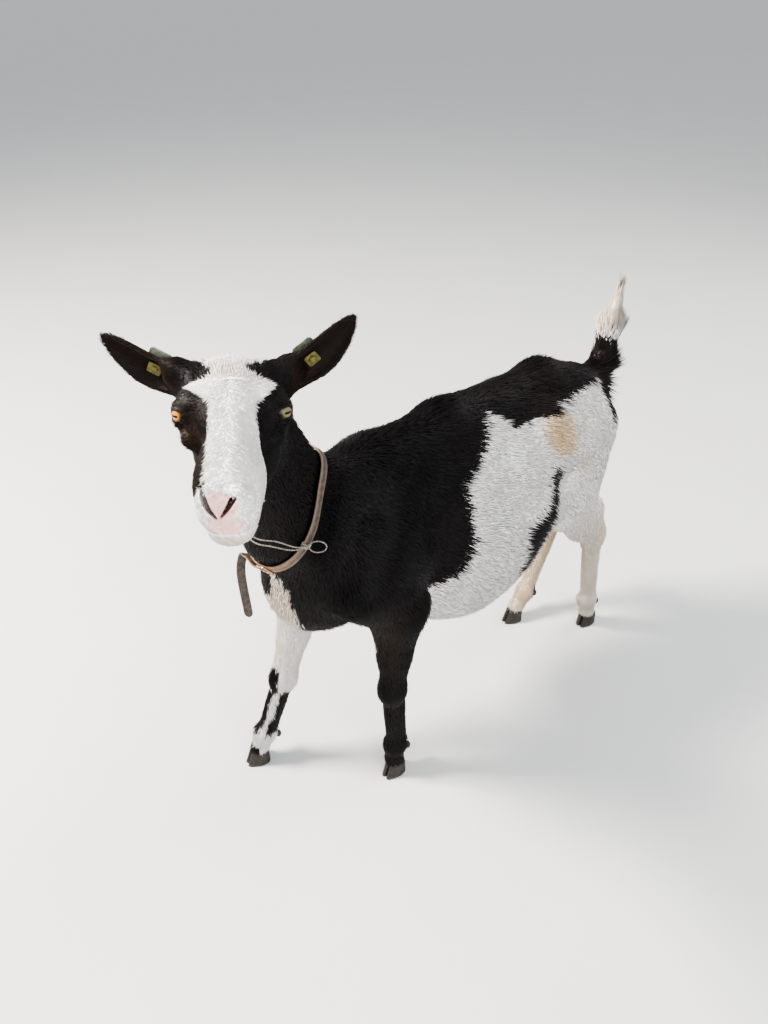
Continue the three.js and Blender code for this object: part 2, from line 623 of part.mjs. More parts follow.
/** Both claws of a foot, inner and outer. */
function makeClaws(side, toe) {
  const claws = {};
  for (const [name, face] of [['outer', SIDES[side]], ['inner', -SIDES[side]]]) {
    const geometry = clawGeometry().translate(CLAW.apart / 2, 0, 0);
    const turned = placeMatrix({ origin: [toe[0], toe[1] + HEEL_TO_TOE, 0], yaw: SIDES[side] * TOE_OUT });
    const solid = toSolid(geometry);
    const faced = face > 0 ? solid : solid.mirror([1, 0, 0]);
    claws[name] = faced.transform(turned.elements);
  }
  return claws;
}

function dewclaw(fetlock, face, extra) {
  const { radii, apart, behind: back, below: drop } = DEWCLAW;
  const place = plus(fetlock, [face * apart, back, -drop]);
  return ellipsoid(radii, new THREE.Matrix4().setPosition(...place), extra, 6);
}

const dewclaws = (fetlock, extra) => dewclaw(fetlock, 1, extra).add(dewclaw(fetlock, -1, extra));

// ---------------------------------------------------------------- collar, buckle, strap end and twine

const COLLAR_STEP = 8;           // degrees each way that give the collar's direction
const NECK_REACH = 220;          // past the neck's skin from the collar's centre

/** Where the collar lies at an angle around the neck: 0 is the goat's left, 90 its crest, -90 its throat. */
function collarRay(skin, degrees, shift) {
  const angle = THREE.MathUtils.degToRad(degrees);
  const normal = vector(COLLAR.normal);
  const { across, rise } = ringFrame(normal);
  const direction = across.multiplyScalar(Math.cos(angle)).addScaledVector(rise, Math.sin(angle));
  const drape = COLLAR.drape * Math.cos(angle) ** 2;
  const origin = vector(COLLAR.centre).addScaledVector(normal, shift - drape);
  return { point: castOut(skin, origin, direction, NECK_REACH), direction, normal };
}

/** The strap's loop around the neck, or the groove that it needs when `extra` is more than nothing. */
function collarStrap(skin, extra = 0) {
  const sections = 32;
  const rings = Array.from({ length: sections }, (_, section) => {
    const degrees = 360 * section / sections;
    const corner = (edge, lift) => {
      const { point, direction } = collarRay(skin, degrees, edge * (COLLAR.width / 2 + extra));
      return point.addScaledVector(direction, lift);
    };
    const inside = GAP - extra;
    const outside = GAP + COLLAR.thickness + extra;
    return [corner(-1, inside), corner(-1, outside), corner(1, outside), corner(1, inside)];
  });
  return toSolid(loopGeometry(rings));
}

/** A closed loop of equal sections. */
function loopGeometry(rings) {
  const corners = rings[0].length;
  const index = [];
  const at = (ring, corner) => (ring % rings.length) * corners + (corner % corners);
  rings.forEach((_, ring) => {
    for (let corner = 0; corner < corners; corner += 1) {
      index.push(at(ring, corner), at(ring + 1, corner + 1), at(ring, corner + 1));
      index.push(at(ring, corner), at(ring + 1, corner), at(ring + 1, corner + 1));
    }
  });
  return new THREE.BufferGeometry().setFromPoints(rings.flat()).setIndex(index);
}

/** A flat ribbon along a curve. Its width turns evenly from one direction to another. */
function ribbon(points, startWidth, endWidth, width, thickness, steps) {
  const curve = new THREE.CatmullRomCurve3(points);
  const rings = Array.from({ length: steps + 1 }, (_, step) => {
    const part = step / steps;
    const wide = startWidth.clone().lerp(endWidth, part);
    const tangent = curve.getTangentAt(part);
    const { across, rise } = ringFrame(tangent, wide);
    const middle = curve.getPointAt(part);
    return [[-1, -1], [1, -1], [1, 1], [-1, 1]].map(([edge, face]) => middle.clone()
      .addScaledVector(across, edge * width / 2)
      .addScaledVector(rise, face * thickness / 2));
  });
  return geometryFromRings(rings, curve.getPointAt(0), curve.getPointAt(1));
}

/** A round twine along a curve. */
function twineGeometry(points, steps) {
  const section = new THREE.Shape().absarc(0, 0, TWINE.radius, 0, 2 * Math.PI);
  const extrudePath = new THREE.CatmullRomCurve3(points);
  return new THREE.ExtrudeGeometry(section, { steps, extrudePath, curveSegments: 3 });
}

/** The basis of a thing that lies on the collar: X along the strap, Y across it and Z away from the neck. */
function collarMatrix(skin, degrees, shift, lift) {
  const at = (turn, edge) => collarRay(skin, degrees + turn, shift + edge).point;
  const halfWidth = COLLAR.width / 2;
  const along = at(COLLAR_STEP, 0).sub(at(-COLLAR_STEP, 0)).normalize();
  const out = along.clone().cross(at(0, halfWidth).sub(at(0, -halfWidth))).normalize();
  return new THREE.Matrix4().makeBasis(along, out.clone().cross(along), out)
    .setPosition(at(0, 0).addScaledVector(out, lift));
}

/** A square frame with round corners, and the prong that crosses it. */
function makeBuckle(skin) {
  const { degrees, width, length, wire } = BUCKLE;
  const frame = roundedRectangle(length, width, wire);
  frame.holes.push(roundedRectangle(length - 2 * wire, width - 2 * wire, wire / 2));
  const options = { depth: wire, bevelEnabled: false, curveSegments: 2 };
  const matrix = collarMatrix(skin, degrees, 0, COLLAR.thickness + 4 * GAP);
  const ring = toSolid(new THREE.ExtrudeGeometry(frame, options), matrix);
  const prong = new THREE.CylinderGeometry(wire / 3, wire / 2, length, 8);
  prong.rotateZ(Math.PI / 2).translate(0, 0, wire);
  return ring.add(toSolid(prong, matrix));
}

function roundedRectangle(length, width, corner) {
  const shape = new THREE.Shape();
  const [x, y] = [length / 2 - corner, width / 2 - corner];
  shape.absarc(x, -y, corner, -Math.PI / 2, 0);
  shape.absarc(x, y, corner, 0, Math.PI / 2);
  shape.absarc(-x, y, corner, Math.PI / 2, Math.PI);
  shape.absarc(-x, -y, corner, Math.PI, 1.5 * Math.PI);
  return shape;
}

/** The free end of the strap, which leaves the buckle towards the goat's right and hangs down. */
function makeStrapEnd(skin) {
  const lift = COLLAR.thickness + STRAP_END.thickness + 5 * GAP;
  const at = (degrees, extra) => {
    const { point, direction } = collarRay(skin, degrees, 0);
    return point.addScaledVector(direction, lift + extra);
  };
  const points = STRAP_END_PATH.map(([degrees, extra]) => at(degrees, extra));
  const bend = points[points.length - 1];
  const low = bend.clone().add(new THREE.Vector3(-1, -3, -STRAP_END.fall));
  points.push(bend.clone().lerp(low, 0.3).add(new THREE.Vector3(-3, -5, 0)), low);
  const startWidth = vector(COLLAR.normal);
  const endWidth = new THREE.Vector3(-0.63, -0.78, 0);
  const strip = ribbon(points, startWidth, endWidth, STRAP_END.width, STRAP_END.thickness, 16);
  return toSolid(strip);
}

/** Two strands across the throat, with a knot at each side of the collar and a loop at the left one. */
function makeTwine(skin) {
  const lift = COLLAR.thickness + TWINE.knot + 6 * GAP;
  const { left, right } = TWINE_ENDS;
  const knotAt = (degrees) => (
    ellipsoid([TWINE.knot * 1.3, TWINE.knot, TWINE.knot], collarMatrix(skin, degrees, 0, lift), 0, 8));
  const at = (degrees, shift, away) => {
    const { point, direction } = collarRay(skin, degrees, shift);
    return point.addScaledVector(direction, away);
  };
  const strand = (path) => {
    const middle = path.map(([degrees, shift]) => at(degrees, shift, TWINE.radius + TWINE.slack));
    return toSolid(twineGeometry([at(left, 0, lift), ...middle, at(right, 0, lift)], 18));
  };
  const ring = new THREE.TorusGeometry(TWINE.loop, TWINE.radius, 5, 14);
  const knot = new THREE.Vector3().setFromMatrixPosition(collarMatrix(skin, left, 0, lift));
  const upward = new THREE.Vector3(0, 0, 1);
  const loopTurn = new THREE.Matrix4().lookAt(vector(TWINE.facing), new THREE.Vector3(), upward);
  const reach = new THREE.Vector3(TWINE.loop + TWINE.knot * 0.5, 0, 0).applyMatrix4(loopTurn);
  const loop = toSolid(ring, loopTurn.setPosition(knot.add(reach)));
  const parts = [...TWINE_STRANDS.map(strand), knotAt(right), loop];
  return parts.reduce((twine, part) => twine.add(part), knotAt(left));
}

// ---------------------------------------------------------------- materials and the scene graph

const finish = (color, roughness, metalness = 0) => (
  new THREE.MeshStandardMaterial({ color, roughness, metalness }));
const MATERIALS = {
  darkCoat: finish(0x1d1a19, 0.6),
  paleCoat: finish(0xe8e0d0, 0.8),
  claw: finish(0x3a332d, 0.5),
  iris: finish(0xc98a3c, 0.15),
  strap: finish(0x6b5440, 0.75),
  buckle: finish(0xa9a9a4, 0.35, 1),
  tag: finish(0xd9b21f, 0.5),
  twine: finish(0xcdbf9d, 0.9),
};

const goat = new THREE.Group();

/** Adds one named solid to the goat. */
function addNode(name, solid, material) {
  const mesh = new THREE.Mesh(toGeometry(solid), material);
  mesh.name = name;
  goat.add(mesh);
}

function addBody(flesh, worn) {
  addNode('trunk', makeTrunk(flesh).subtract(worn), MATERIALS.darkCoat);
  addNode('neck', makeNeck(flesh).subtract(worn), MATERIALS.darkCoat);
  addNode('head', makeHead(flesh), MATERIALS.paleCoat);
  addNode('tail', makeTail(flesh), MATERIALS.darkCoat);
}

function addLegs(flesh) {
  for (const side of Object.keys(SIDES)) {
    const foreleg = makeForeleg(flesh, side);
    const hindleg = makeHindleg(flesh, side);
    const foreCoat = side === 'left' ? MATERIALS.darkCoat : MATERIALS.paleCoat;
    addNode(`forearm_${side}`, foreleg.upper, foreCoat);
    addNode(`fore_shank_${side}`, foreleg.lower, foreCoat);
    addNode(`gaskin_${side}`, hindleg.upper, MATERIALS.paleCoat);
    addNode(`hind_shank_${side}`, hindleg.lower, MATERIALS.paleCoat);
  }
}

function addFeet() {
  for (const [limb, joints] of [['fore', FORE_JOINTS], ['hind', HIND_JOINTS]]) {
    for (const side of Object.keys(SIDES)) {
      const { fetlock, toe } = joints[side];
      const claws = makeClaws(side, toe);
      for (const [face, sign] of [['outer', SIDES[side]], ['inner', -SIDES[side]]]) {
        addNode(`${limb}_claw_${side}_${face}`, claws[face], MATERIALS.claw);
        addNode(`${limb}_dewclaw_${side}_${face}`, dewclaw(fetlock, sign, 0), MATERIALS.claw);
      }
    }
  }
}

function addFace() {
  for (const side of Object.keys(SIDES)) {
    const tag = makeTag(side, 0);
    addNode(`eye_${side}`, eyeball(side), MATERIALS.iris);
    addNode(`ear_${side}`, makeEar(side).subtract(makeTag(side, GAP)), MATERIALS.darkCoat);
    addNode(`ear_tag_${side}`, tag, MATERIALS.tag);
  }
}

function addWornThings(skin) {
  addNode('collar_strap', collarStrap(skin), MATERIALS.strap);
  addNode('collar_buckle', makeBuckle(skin), MATERIALS.buckle);
  addNode('collar_strap_end', makeStrapEnd(skin), MATERIALS.strap);
  addNode('twine', makeTwine(skin), MATERIALS.twine);
}

const flesh = makeFlesh();
const collarSkin = flesh.skinOf(['trunk', 'shoulder', 'neck']);
addBody(flesh, collarStrap(collarSkin, GAP));
addLegs(flesh);
addFeet();
addFace();
addWornThings(collarSkin);

// The model stands on the origin, in the middle of its outline.
const outline = new THREE.Box3().setFromObject(goat);
const middle = outline.getCenter(new THREE.Vector3());
goat.position.set(-middle.x, -middle.y, 0);

export default goat;
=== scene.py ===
"""The looks of a life-size, still dairy goat with a leather collar and ear tags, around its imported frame.

Sizes are millimetres in the goat's own frame: +X is its left, -Y is where its chest faces, +Z is up and
the floor is at z = 0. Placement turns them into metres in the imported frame, which has its origin elsewhere.
The body is described as flesh, bones and muscles that melt into one another out to the tips of the coat.
One skin lies inside it by the depth of the coat, and tufts of hair grow on that skin.
"""

from __future__ import annotations

import json
import logging
import math
from collections.abc import Callable, Iterable
from dataclasses import dataclass, field
from enum import Enum
from functools import reduce

import bmesh
import bpy
import numpy as np
from bmesh.types import BMesh, BMVert
from bpy.types import Material, Mesh, Node, NodeSocket, NodeTree, Object
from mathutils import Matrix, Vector

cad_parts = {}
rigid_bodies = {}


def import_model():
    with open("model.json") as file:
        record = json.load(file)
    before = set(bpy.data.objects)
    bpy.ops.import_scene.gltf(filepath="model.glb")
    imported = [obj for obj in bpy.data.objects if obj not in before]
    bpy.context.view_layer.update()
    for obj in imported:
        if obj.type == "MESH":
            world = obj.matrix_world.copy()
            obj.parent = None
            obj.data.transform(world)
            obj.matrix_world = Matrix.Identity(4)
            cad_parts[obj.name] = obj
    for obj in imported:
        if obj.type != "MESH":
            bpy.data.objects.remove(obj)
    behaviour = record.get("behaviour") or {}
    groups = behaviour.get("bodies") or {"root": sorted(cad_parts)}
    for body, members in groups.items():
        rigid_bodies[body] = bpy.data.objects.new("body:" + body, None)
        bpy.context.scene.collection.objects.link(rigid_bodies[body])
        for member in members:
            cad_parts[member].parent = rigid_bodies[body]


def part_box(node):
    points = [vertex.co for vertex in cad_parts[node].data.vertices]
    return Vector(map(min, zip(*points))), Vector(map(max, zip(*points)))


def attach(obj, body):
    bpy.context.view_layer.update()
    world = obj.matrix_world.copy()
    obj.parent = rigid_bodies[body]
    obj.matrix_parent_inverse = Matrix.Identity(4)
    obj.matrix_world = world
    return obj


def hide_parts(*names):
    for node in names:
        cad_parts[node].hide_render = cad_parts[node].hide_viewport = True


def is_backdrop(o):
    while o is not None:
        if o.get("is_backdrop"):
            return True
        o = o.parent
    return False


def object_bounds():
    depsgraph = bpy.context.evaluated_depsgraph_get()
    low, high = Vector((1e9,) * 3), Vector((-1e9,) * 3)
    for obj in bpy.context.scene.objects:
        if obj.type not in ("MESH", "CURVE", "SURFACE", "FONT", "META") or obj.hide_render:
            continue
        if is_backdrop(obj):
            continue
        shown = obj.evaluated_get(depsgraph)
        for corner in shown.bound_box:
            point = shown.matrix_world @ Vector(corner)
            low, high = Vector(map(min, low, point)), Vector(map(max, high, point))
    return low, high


LOG = logging.getLogger("goat")
METRES = 0.001
SEED = 11
ROOT = "root"
Vec = tuple[float, float, float]
Array = np.ndarray
SIDES = {"left": 1, "right": -1}


# ------------------------------------------------------------------ vectors, frames and placing


def unit(vectors: Array) -> Array:
    """Vectors scaled to length one."""
    vectors = np.asarray(vectors, float)
    return vectors / np.maximum(np.linalg.norm(vectors, axis=-1, keepdims=True), 1e-9)


def flat_to(directions: Array, normals: Array) -> Array:
    """Directions laid flat on surfaces with these normals."""
    return unit(directions - (directions * normals).sum(-1, keepdims=True) * normals)


def mirrored(point: Vec, side: int) -> Vec:
    """A point given for the goat's left, moved to the given side."""
    return (point[0] * side, point[1], point[2])


def plus(a: Vec, b: Vec) -> Vec:
    """The sum of two points."""
    return tuple(u + v for u, v in zip(a, b))


def between(a: Vec, b: Vec, part: float) -> Vec:
    """The point at a part of the way from one point to another."""
    return tuple(u + (v - u) * part for u, v in zip(a, b))


def bounded(values: Array) -> Array:
    """Values kept between 0 and 1."""
    return np.clip(values, 0, 1)


def least(*values: Array) -> Array:
    """The smallest of several values at each place."""
    return reduce(np.minimum, values)


def most(*values: Array) -> Array:
    """The largest of several values at each place."""
    return reduce(np.maximum, values)


def ripple(points: Array, size: float, seed: int) -> Array:
    """Smooth, repeatable unevenness from -1 to 1.

    Args:
        points: places in millimetres.
        size: rough width of one swell in millimetres.
        seed: which unevenness.

    Returns:
        One value for each place.
    """
    random = np.random.default_rng(seed)
    waves = unit(random.normal(size=(7, 3))) * random.uniform(0.7, 1.6, (7, 1)) * math.pi / size
    phases = random.uniform(0, 2 * math.pi, 7)
    return np.sin(np.asarray(points) @ waves.T + phases).sum(1) / 3.5


@dataclass(frozen=True)
class Pose:
    """A turned and moved frame of its own for some shapes. Angles are in degrees."""

    origin: Vec = (0.0, 0.0, 0.0)
    yaw: float = 0.0
    pitch: float = 0.0
    roll: float = 0.0

    def matrix(self) -> Array:
        """The turn from this frame to the goat's: roll about Y, then pitch about X, then yaw about Z."""
        yaw, pitch, roll = (math.radians(angle) for angle in (self.yaw, self.pitch, self.roll))
        about_z = [[math.cos(yaw), -math.sin(yaw), 0], [math.sin(yaw), math.cos(yaw), 0], [0, 0, 1]]
        about_x = [[1, 0, 0], [0, math.cos(pitch), -math.sin(pitch)], [0, math.sin(pitch), math.cos(pitch)]]
        about_y = [[math.cos(roll), 0, math.sin(roll)], [0, 1, 0], [-math.sin(roll), 0, math.cos(roll)]]
        return np.array(about_z) @ np.array(about_x) @ np.array(about_y)

    def own(self, points: Array) -> Array:
        """Points of the goat's frame in this frame."""
        return (np.asarray(points, float) - np.array(self.origin)) @ self.matrix()

    def goat(self, points: Array) -> Array:
        """Points of this frame in the goat's frame."""
        return self.turned(points) + np.array(self.origin)

    def turned(self, directions: Array) -> Array:
        """Directions of this frame in the goat's frame."""
        return np.asarray(directions, float) @ self.matrix().T


BODY = Pose()
HEAD = Pose((117.0, -497.0, 867.0), 57.0, -2.0, 1.0)


@dataclass(frozen=True)
class Eye:
    """The eyeball and the way it looks, in the head's frame, for the goat's left."""

    radius: float = 13.5
    place: Vec = (53.0, -5.0, 27.0)
    gaze: Vec = (0.72, -0.66, 0.12)

    def centre(self, side: int) -> Array:
        """The eyeball's centre in the goat's frame."""
        return HEAD.goat(mirrored(self.place, side))

    def axes(self, side: int) -> Array:
        """Rows that point towards the nose, up and out along the gaze, in the goat's frame."""
        out = unit(HEAD.turned(mirrored(self.gaze, side)))
        nose = flat_to(HEAD.turned((0.0, -1.0, 0.0)), out)
        up = np.cross(nose, out) * side
        return np.array([nose, up, out])


EYE = Eye()


@dataclass
class Placement:
    """Turns the goat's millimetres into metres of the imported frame."""

    shift: Array = field(default_factory=lambda: np.zeros(3))

    @classmethod
    def from_frame(cls) -> Placement:
        """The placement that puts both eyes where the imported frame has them."""
        shifts = []
        for name, side in SIDES.items():
            low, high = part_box(f"eye_{name}")
            shifts.append(np.array((low + high) / 2) - EYE.centre(side) * METRES)
        shift = np.mean(shifts, axis=0)
        shift[2] = 0.0
        return cls(shift)

    def metres(self, points: Array) -> Array:
        """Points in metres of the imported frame."""
        return np.asarray(points, float) * METRES + self.shift

    def millimetres(self, mesh: Mesh) -> Array:
        """A mesh's vertices in the goat's own frame."""
        return (numbers_of(mesh.vertices, "co").astype(float) - self.shift) / METRES


# ------------------------------------------------------------------ hair by region


class Region(Enum):
    """The kinds of hair on the body."""

    FACE = 0
    MUZZLE = 1
    POLL = 2
    EAR = 3
    NECK = 4
    BODY = 5
    BELLY = 6
    LEG = 7
    PASTERN = 8
    TAIL = 9


@dataclass(frozen=True)
class Hair:
    """How the hair of one region grows.

    Attributes:
        length: of a tuft in millimetres.
        width: of a tuft in millimetres.
        depth: of the whole coat over the skin in millimetres.
        lift: degrees that a tuft stands off the skin.
        stray: degrees that tufts turn away from the lie of the coat.
        density: tufts on a square centimetre.
    """

    length: float
    width: float
    depth: float
    lift: float
    stray: float
    density: float


HAIR = {
    Region.FACE: Hair(6.5, 0.85, 1.6, 10.0, 14.0, 40.0),
    Region.MUZZLE: Hair(4.2, 0.7, 1.0, 10.0, 15.0, 50.0),
    Region.POLL: Hair(17.0, 1.2, 6.0, 30.0, 24.0, 32.0),
    Region.EAR: Hair(6.0, 0.8, 0.5, 9.0, 14.0, 40.0),
    Region.NECK: Hair(20.0, 1.5, 5.5, 10.0, 10.0, 15.0),
    Region.BODY: Hair(24.0, 1.5, 5.5, 7.5, 8.0, 12.0),
    Region.BELLY: Hair(27.0, 1.6, 6.5, 11.0, 12.0, 11.0),
    Region.LEG: Hair(12.0, 1.3, 2.4, 12.0, 12.0, 17.0),
    Region.PASTERN: Hair(11.0, 1.3, 2.2, 14.0, 14.0, 22.0),
    Region.TAIL: Hair(35.0, 1.8, 7.0, 4.5, 5.0, 32.0),
}


# ------------------------------------------------------------------ flesh


@dataclass
class Muscle:
    """A shape of flesh, its hair and the way that hair lies."""

    pose: Pose
    blend: float
    region: Region
    lie: Vec
    group: str

    def own_distance(self, points: Array) -> Array:
        """Distance from points of the shape's own frame to its surface, negative inside."""
        raise NotImplementedError

    def distance(self, points: Array) -> Array:
        """Distance from points of the goat's frame to the shape's surface, negative inside."""
        return self.own_distance(self.pose.own(points))

    def flow(self) -> Array:
        """The lie of the hair in the goat's frame."""
        return unit(self.pose.turned(self.lie))


@dataclass
class Limb(Muscle):
    """A tapered rod from one joint to the next. `wide` scales it across the body."""

    start: Vec
    end: Vec
    radii: tuple[float, float]
    wide: float = 1.0

    def own_distance(self, points: Array) -> Array:
        """Distance to the rod's surface."""
        squeeze = np.array([1 / self.wide, 1, 1])
        offset = (points - np.array(self.start)) * squeeze
        span = (np.array(self.end) - np.array(self.start)) * squeeze
        part = bounded(offset @ span / (span @ span))
        radius = self.radii[0] + (self.radii[1] - self.radii[0]) * part
        return np.linalg.norm(offset - part[:, None] * span, axis=1) - radius


@dataclass
class Lump(Muscle):
    """An ellipsoid."""

    centre: Vec
    radii: Vec

    def own_distance(self, points: Array) -> Array:
        """Distance to the ellipsoid's surface, close to it."""
        scaled = (points - np.array(self.centre)) / np.array(self.radii)
        reach = np.linalg.norm(scaled, axis=1)
        slope = np.linalg.norm(scaled / np.array(self.radii), axis=1)
        return reach * (reach - 1) / np.maximum(slope, 1e-9)


@dataclass
class EarLeaf(Muscle):
    """An ear: a cupped leaf, thick at its root and thin at its rim."""

    side: int
    tip: Vec
    root: Vec = (46.0, 57.0, 37.0)
    stub: float = 6.0
    width: float = 60.0
    thickness: float = 5.2
    sag: float = 11.0

    def axes(self) -> tuple[Array, Array, Array]:
        """Directions along the ear, out of its hollow and up across it, in the head's frame."""
        along = unit(np.array(self.tip) - np.array(mirrored(self.root, self.side)))
        front = flat_to(unit(np.array([0.0, -1.0, -0.35])), along)
        return along, front, np.cross(front, along) * self.side

    def section(self, part: Array) -> tuple[Array, Array]:
        """Half width and roll of the ear at parts of its length."""
        leaf = 0.74 + 0.75 * part - 0.95 * part**2
        half = self.width / 2 * leaf * np.sqrt(np.maximum(1 - part**4, 0.02))
        return half, 1.6 + (0.75 - 1.6) * np.sqrt(part)

    def sheet(self, points: Array) -> tuple[Array, Array, Array]:
        """Where points are by the ear's middle sheet.

        Args:
            points: places in the head's frame.

        Returns:
            Part of the length, offset to the sheet and offset past the tip.
        """
        along, front, up = self.axes()
        root = np.array(mirrored(self.root, self.side)) + along * self.stub
        length = np.linalg.norm(np.array(self.tip) - root)
        offset = points - root
        reach = offset @ along
        part = bounded(reach / length)
        half, roll = self.section(part)
        radius = half / np.minimum(roll, 1.35)
        forward = offset @ front - 0.7 * radius
        across = offset @ up + self.sag * np.sin(np.pi * part)
        angle = np.clip(np.arctan2(across, -forward), -roll, roll)
        off_x = -forward - radius * np.cos(angle)
        off_y = across - radius * np.sin(angle)
        return part, np.hypot(off_x, off_y), reach - part * length

    def point(self, part: float, lift: float) -> Array:
        """A place on the middle line of the ear, `lift` out of its hollow, in the goat's frame."""
        along, front, up = self.axes()
        root = np.array(mirrored(self.root, self.side)) + along * self.stub
        half, roll = self.section(np.array(part))
        radius = half / np.minimum(roll, 1.35)
        place = root + (np.array(self.tip) - root) * part - up * self.sag * np.sin(np.pi * part)
        return HEAD.goat(place + front * (lift - 0.3 * radius))

    def own_distance(self, points: Array) -> Array:
        """Distance to the ear's surface."""
        part, off, beyond = self.sheet(points)
        return np.hypot(off, beyond) - self.thickness / 2 * (1 - 0.15 * part)


def melted(a: Array, b: Array, blend: float) -> Array:
    """The smaller of two distances, with a fillet where they are within `blend` of each other."""
    overlap = np.maximum(blend - np.abs(a - b), 0) / blend
    return np.minimum(a, b) - overlap * overlap * blend / 4


def cut(a: Array, b: Array, blend: float) -> Array:
    """The larger of two distances, with a rounded edge."""
    return -melted(-a, -b, blend)


class Flesh:
    """All bones and muscles, in the order in which they melt together."""

    BLOCK = 48.0
    SLACK = 1.3

    def __init__(self) -> None:
        """Starts with no flesh."""
        self.muscles: list[Muscle] = []
        self.details: list[FaceDetail] = []
        self._known: dict[tuple[int, int, int], list[Muscle]] = {}

    def limb(self, pose: Pose, blend: float, region: Region, lie: Vec, group: str, *shape) -> None:
        """Adds a rod: start, end, radii and, where it isn't round, its width."""
        self.muscles.append(Limb(pose, blend, region, lie, group, *shape))

    def lump(self, pose: Pose, blend: float, region: Region, lie: Vec, group: str, *shape) -> None:
        """Adds an ellipsoid: centre and radii."""
        self.muscles.append(Lump(pose, blend, region, lie, group, *shape))

    def _near(self, key: tuple[int, int, int]) -> list[Muscle]:
        """The muscles that can matter inside a block of space."""
        if key not in self._known:
            centre = (np.array([key], float) + 0.5) * self.BLOCK
            reach = self.BLOCK * math.sqrt(3) / 2 * self.SLACK
            away = [float(muscle.distance(centre)[0]) for muscle in self.muscles]
            nearest = min(away) + 2 * reach + 10
            self._known[key] = [m for m, gap in zip(self.muscles, away) if gap < nearest + m.blend]
        return self._known[key]

    def blocks(self, points: Array) -> Iterable[tuple[Array, list[Muscle]]]:
        """Splits points into blocks of space.

        Args:
            points: places in the goat's frame.

        Yields:
            The numbers of the points in one block, and the muscles that can matter there.
        """
        keys = np.floor(points / self.BLOCK).astype(int)
        _, block = np.unique(keys, axis=0, return_inverse=True)
        block = block.ravel()
        order = np.argsort(block, kind="stable")
        for chosen in np.split(order, np.flatnonzero(np.diff(block[order])) + 1):
            yield chosen, self._near(tuple(int(number) for number in keys[chosen[0]]))

    def distance(self, points: Array, coat: bool = False, groups: tuple[str, ...] = ()) -> Array:
        """Distance to the skin, negative inside.

        Args:
            points: places in the goat's frame.
            coat: whether to measure to the tips of the coat, without the face's details.
            groups: the groups of muscles that count, or none for all.

        Returns:
            One distance for each place.
        """
        result = np.full(len(points), 1000.0)
        for chosen, muscles in self.blocks(points):
            value = np.full(len(chosen), 1000.0)
            for muscle in muscles:
                if groups and muscle.group not in groups:
                    continue
                depth = 0.0 if coat else HAIR[muscle.region].depth
                value = melted(value, muscle.distance(points[chosen]) + depth, muscle.blend)
            result[chosen] = value
        if not coat:
            for detail in self.details:
                result = detail.shaped(points, result)
            result = cut(result, CORONET_HEIGHT - 1.0 - points[:, 2], 2.0)
        return result

    def growth(self, points: Array) -> tuple[Array, Array]:
        """How the hair grows at places on the skin.

        Args:
            points: places in the goat's frame.

        Returns:
            The share of each region at each place, and the lie of the hair there.
        """
        shares = np.zeros((len(points), len(Region)))
        lie = np.zeros((len(points), 3))
        for chosen, muscles in self.blocks(points):
            away = np.array([muscle.distance(points[chosen]) for muscle in muscles])
            softness = np.array([[max(muscle.blend, 16.0) * 0.35] for muscle in muscles])
            weight = np.exp(-np.maximum(away - away.min(0), 0) / softness)
            weight /= weight.sum(0)
            for muscle, portion in zip(muscles, weight):
                shares[chosen, muscle.region.value] += portion
                lie[chosen] += portion[:, None] * muscle.flow()
        return shares, lie


# ------------------------------------------------------------------ the goat's flesh

CORONET_HEIGHT = 35.0
HEEL_TO_TOE = 6.0
SHOULDER_WIDTH = 80.0
EAR_TIPS = {"left": (143.0, 66.0, 109.0), "right": (-146.0, 74.0, 90.0)}
FORE_JOINTS = {
    "left": {
        "elbow": (92, -222, 415),
        "knee": (96, -240, 240),
        "fetlock": (96, -232, 82),
        "toe": (96, -240, 0),
    },
    "right": {
        "elbow": (-82, -290, 415),
        "knee": (-68, -369, 222),
        "fetlock": (-89, -410, 76),
        "toe": (-95, -434, 0),
    },
}
HIND_JOINTS = {
    "left": {
        "hip": (60, 242, 550),
        "stifle": (88, 216, 440),
        "hock": (64, 352, 284),
        "fetlock": (60, 388, 84),
        "toe": (58, 396, 0),
    },
    "right": {
        "hip": (-60, 236, 550),
        "stifle": (-88, 190, 436),
        "hock": (-62, 382, 266),
        "fetlock": (-60, 306, 72),
        "toe": (-60, 264, 0),
    },
}
DOWN = (0.0, 0.12, -1.0)
BACK = (0.0, 1.0, -0.25)


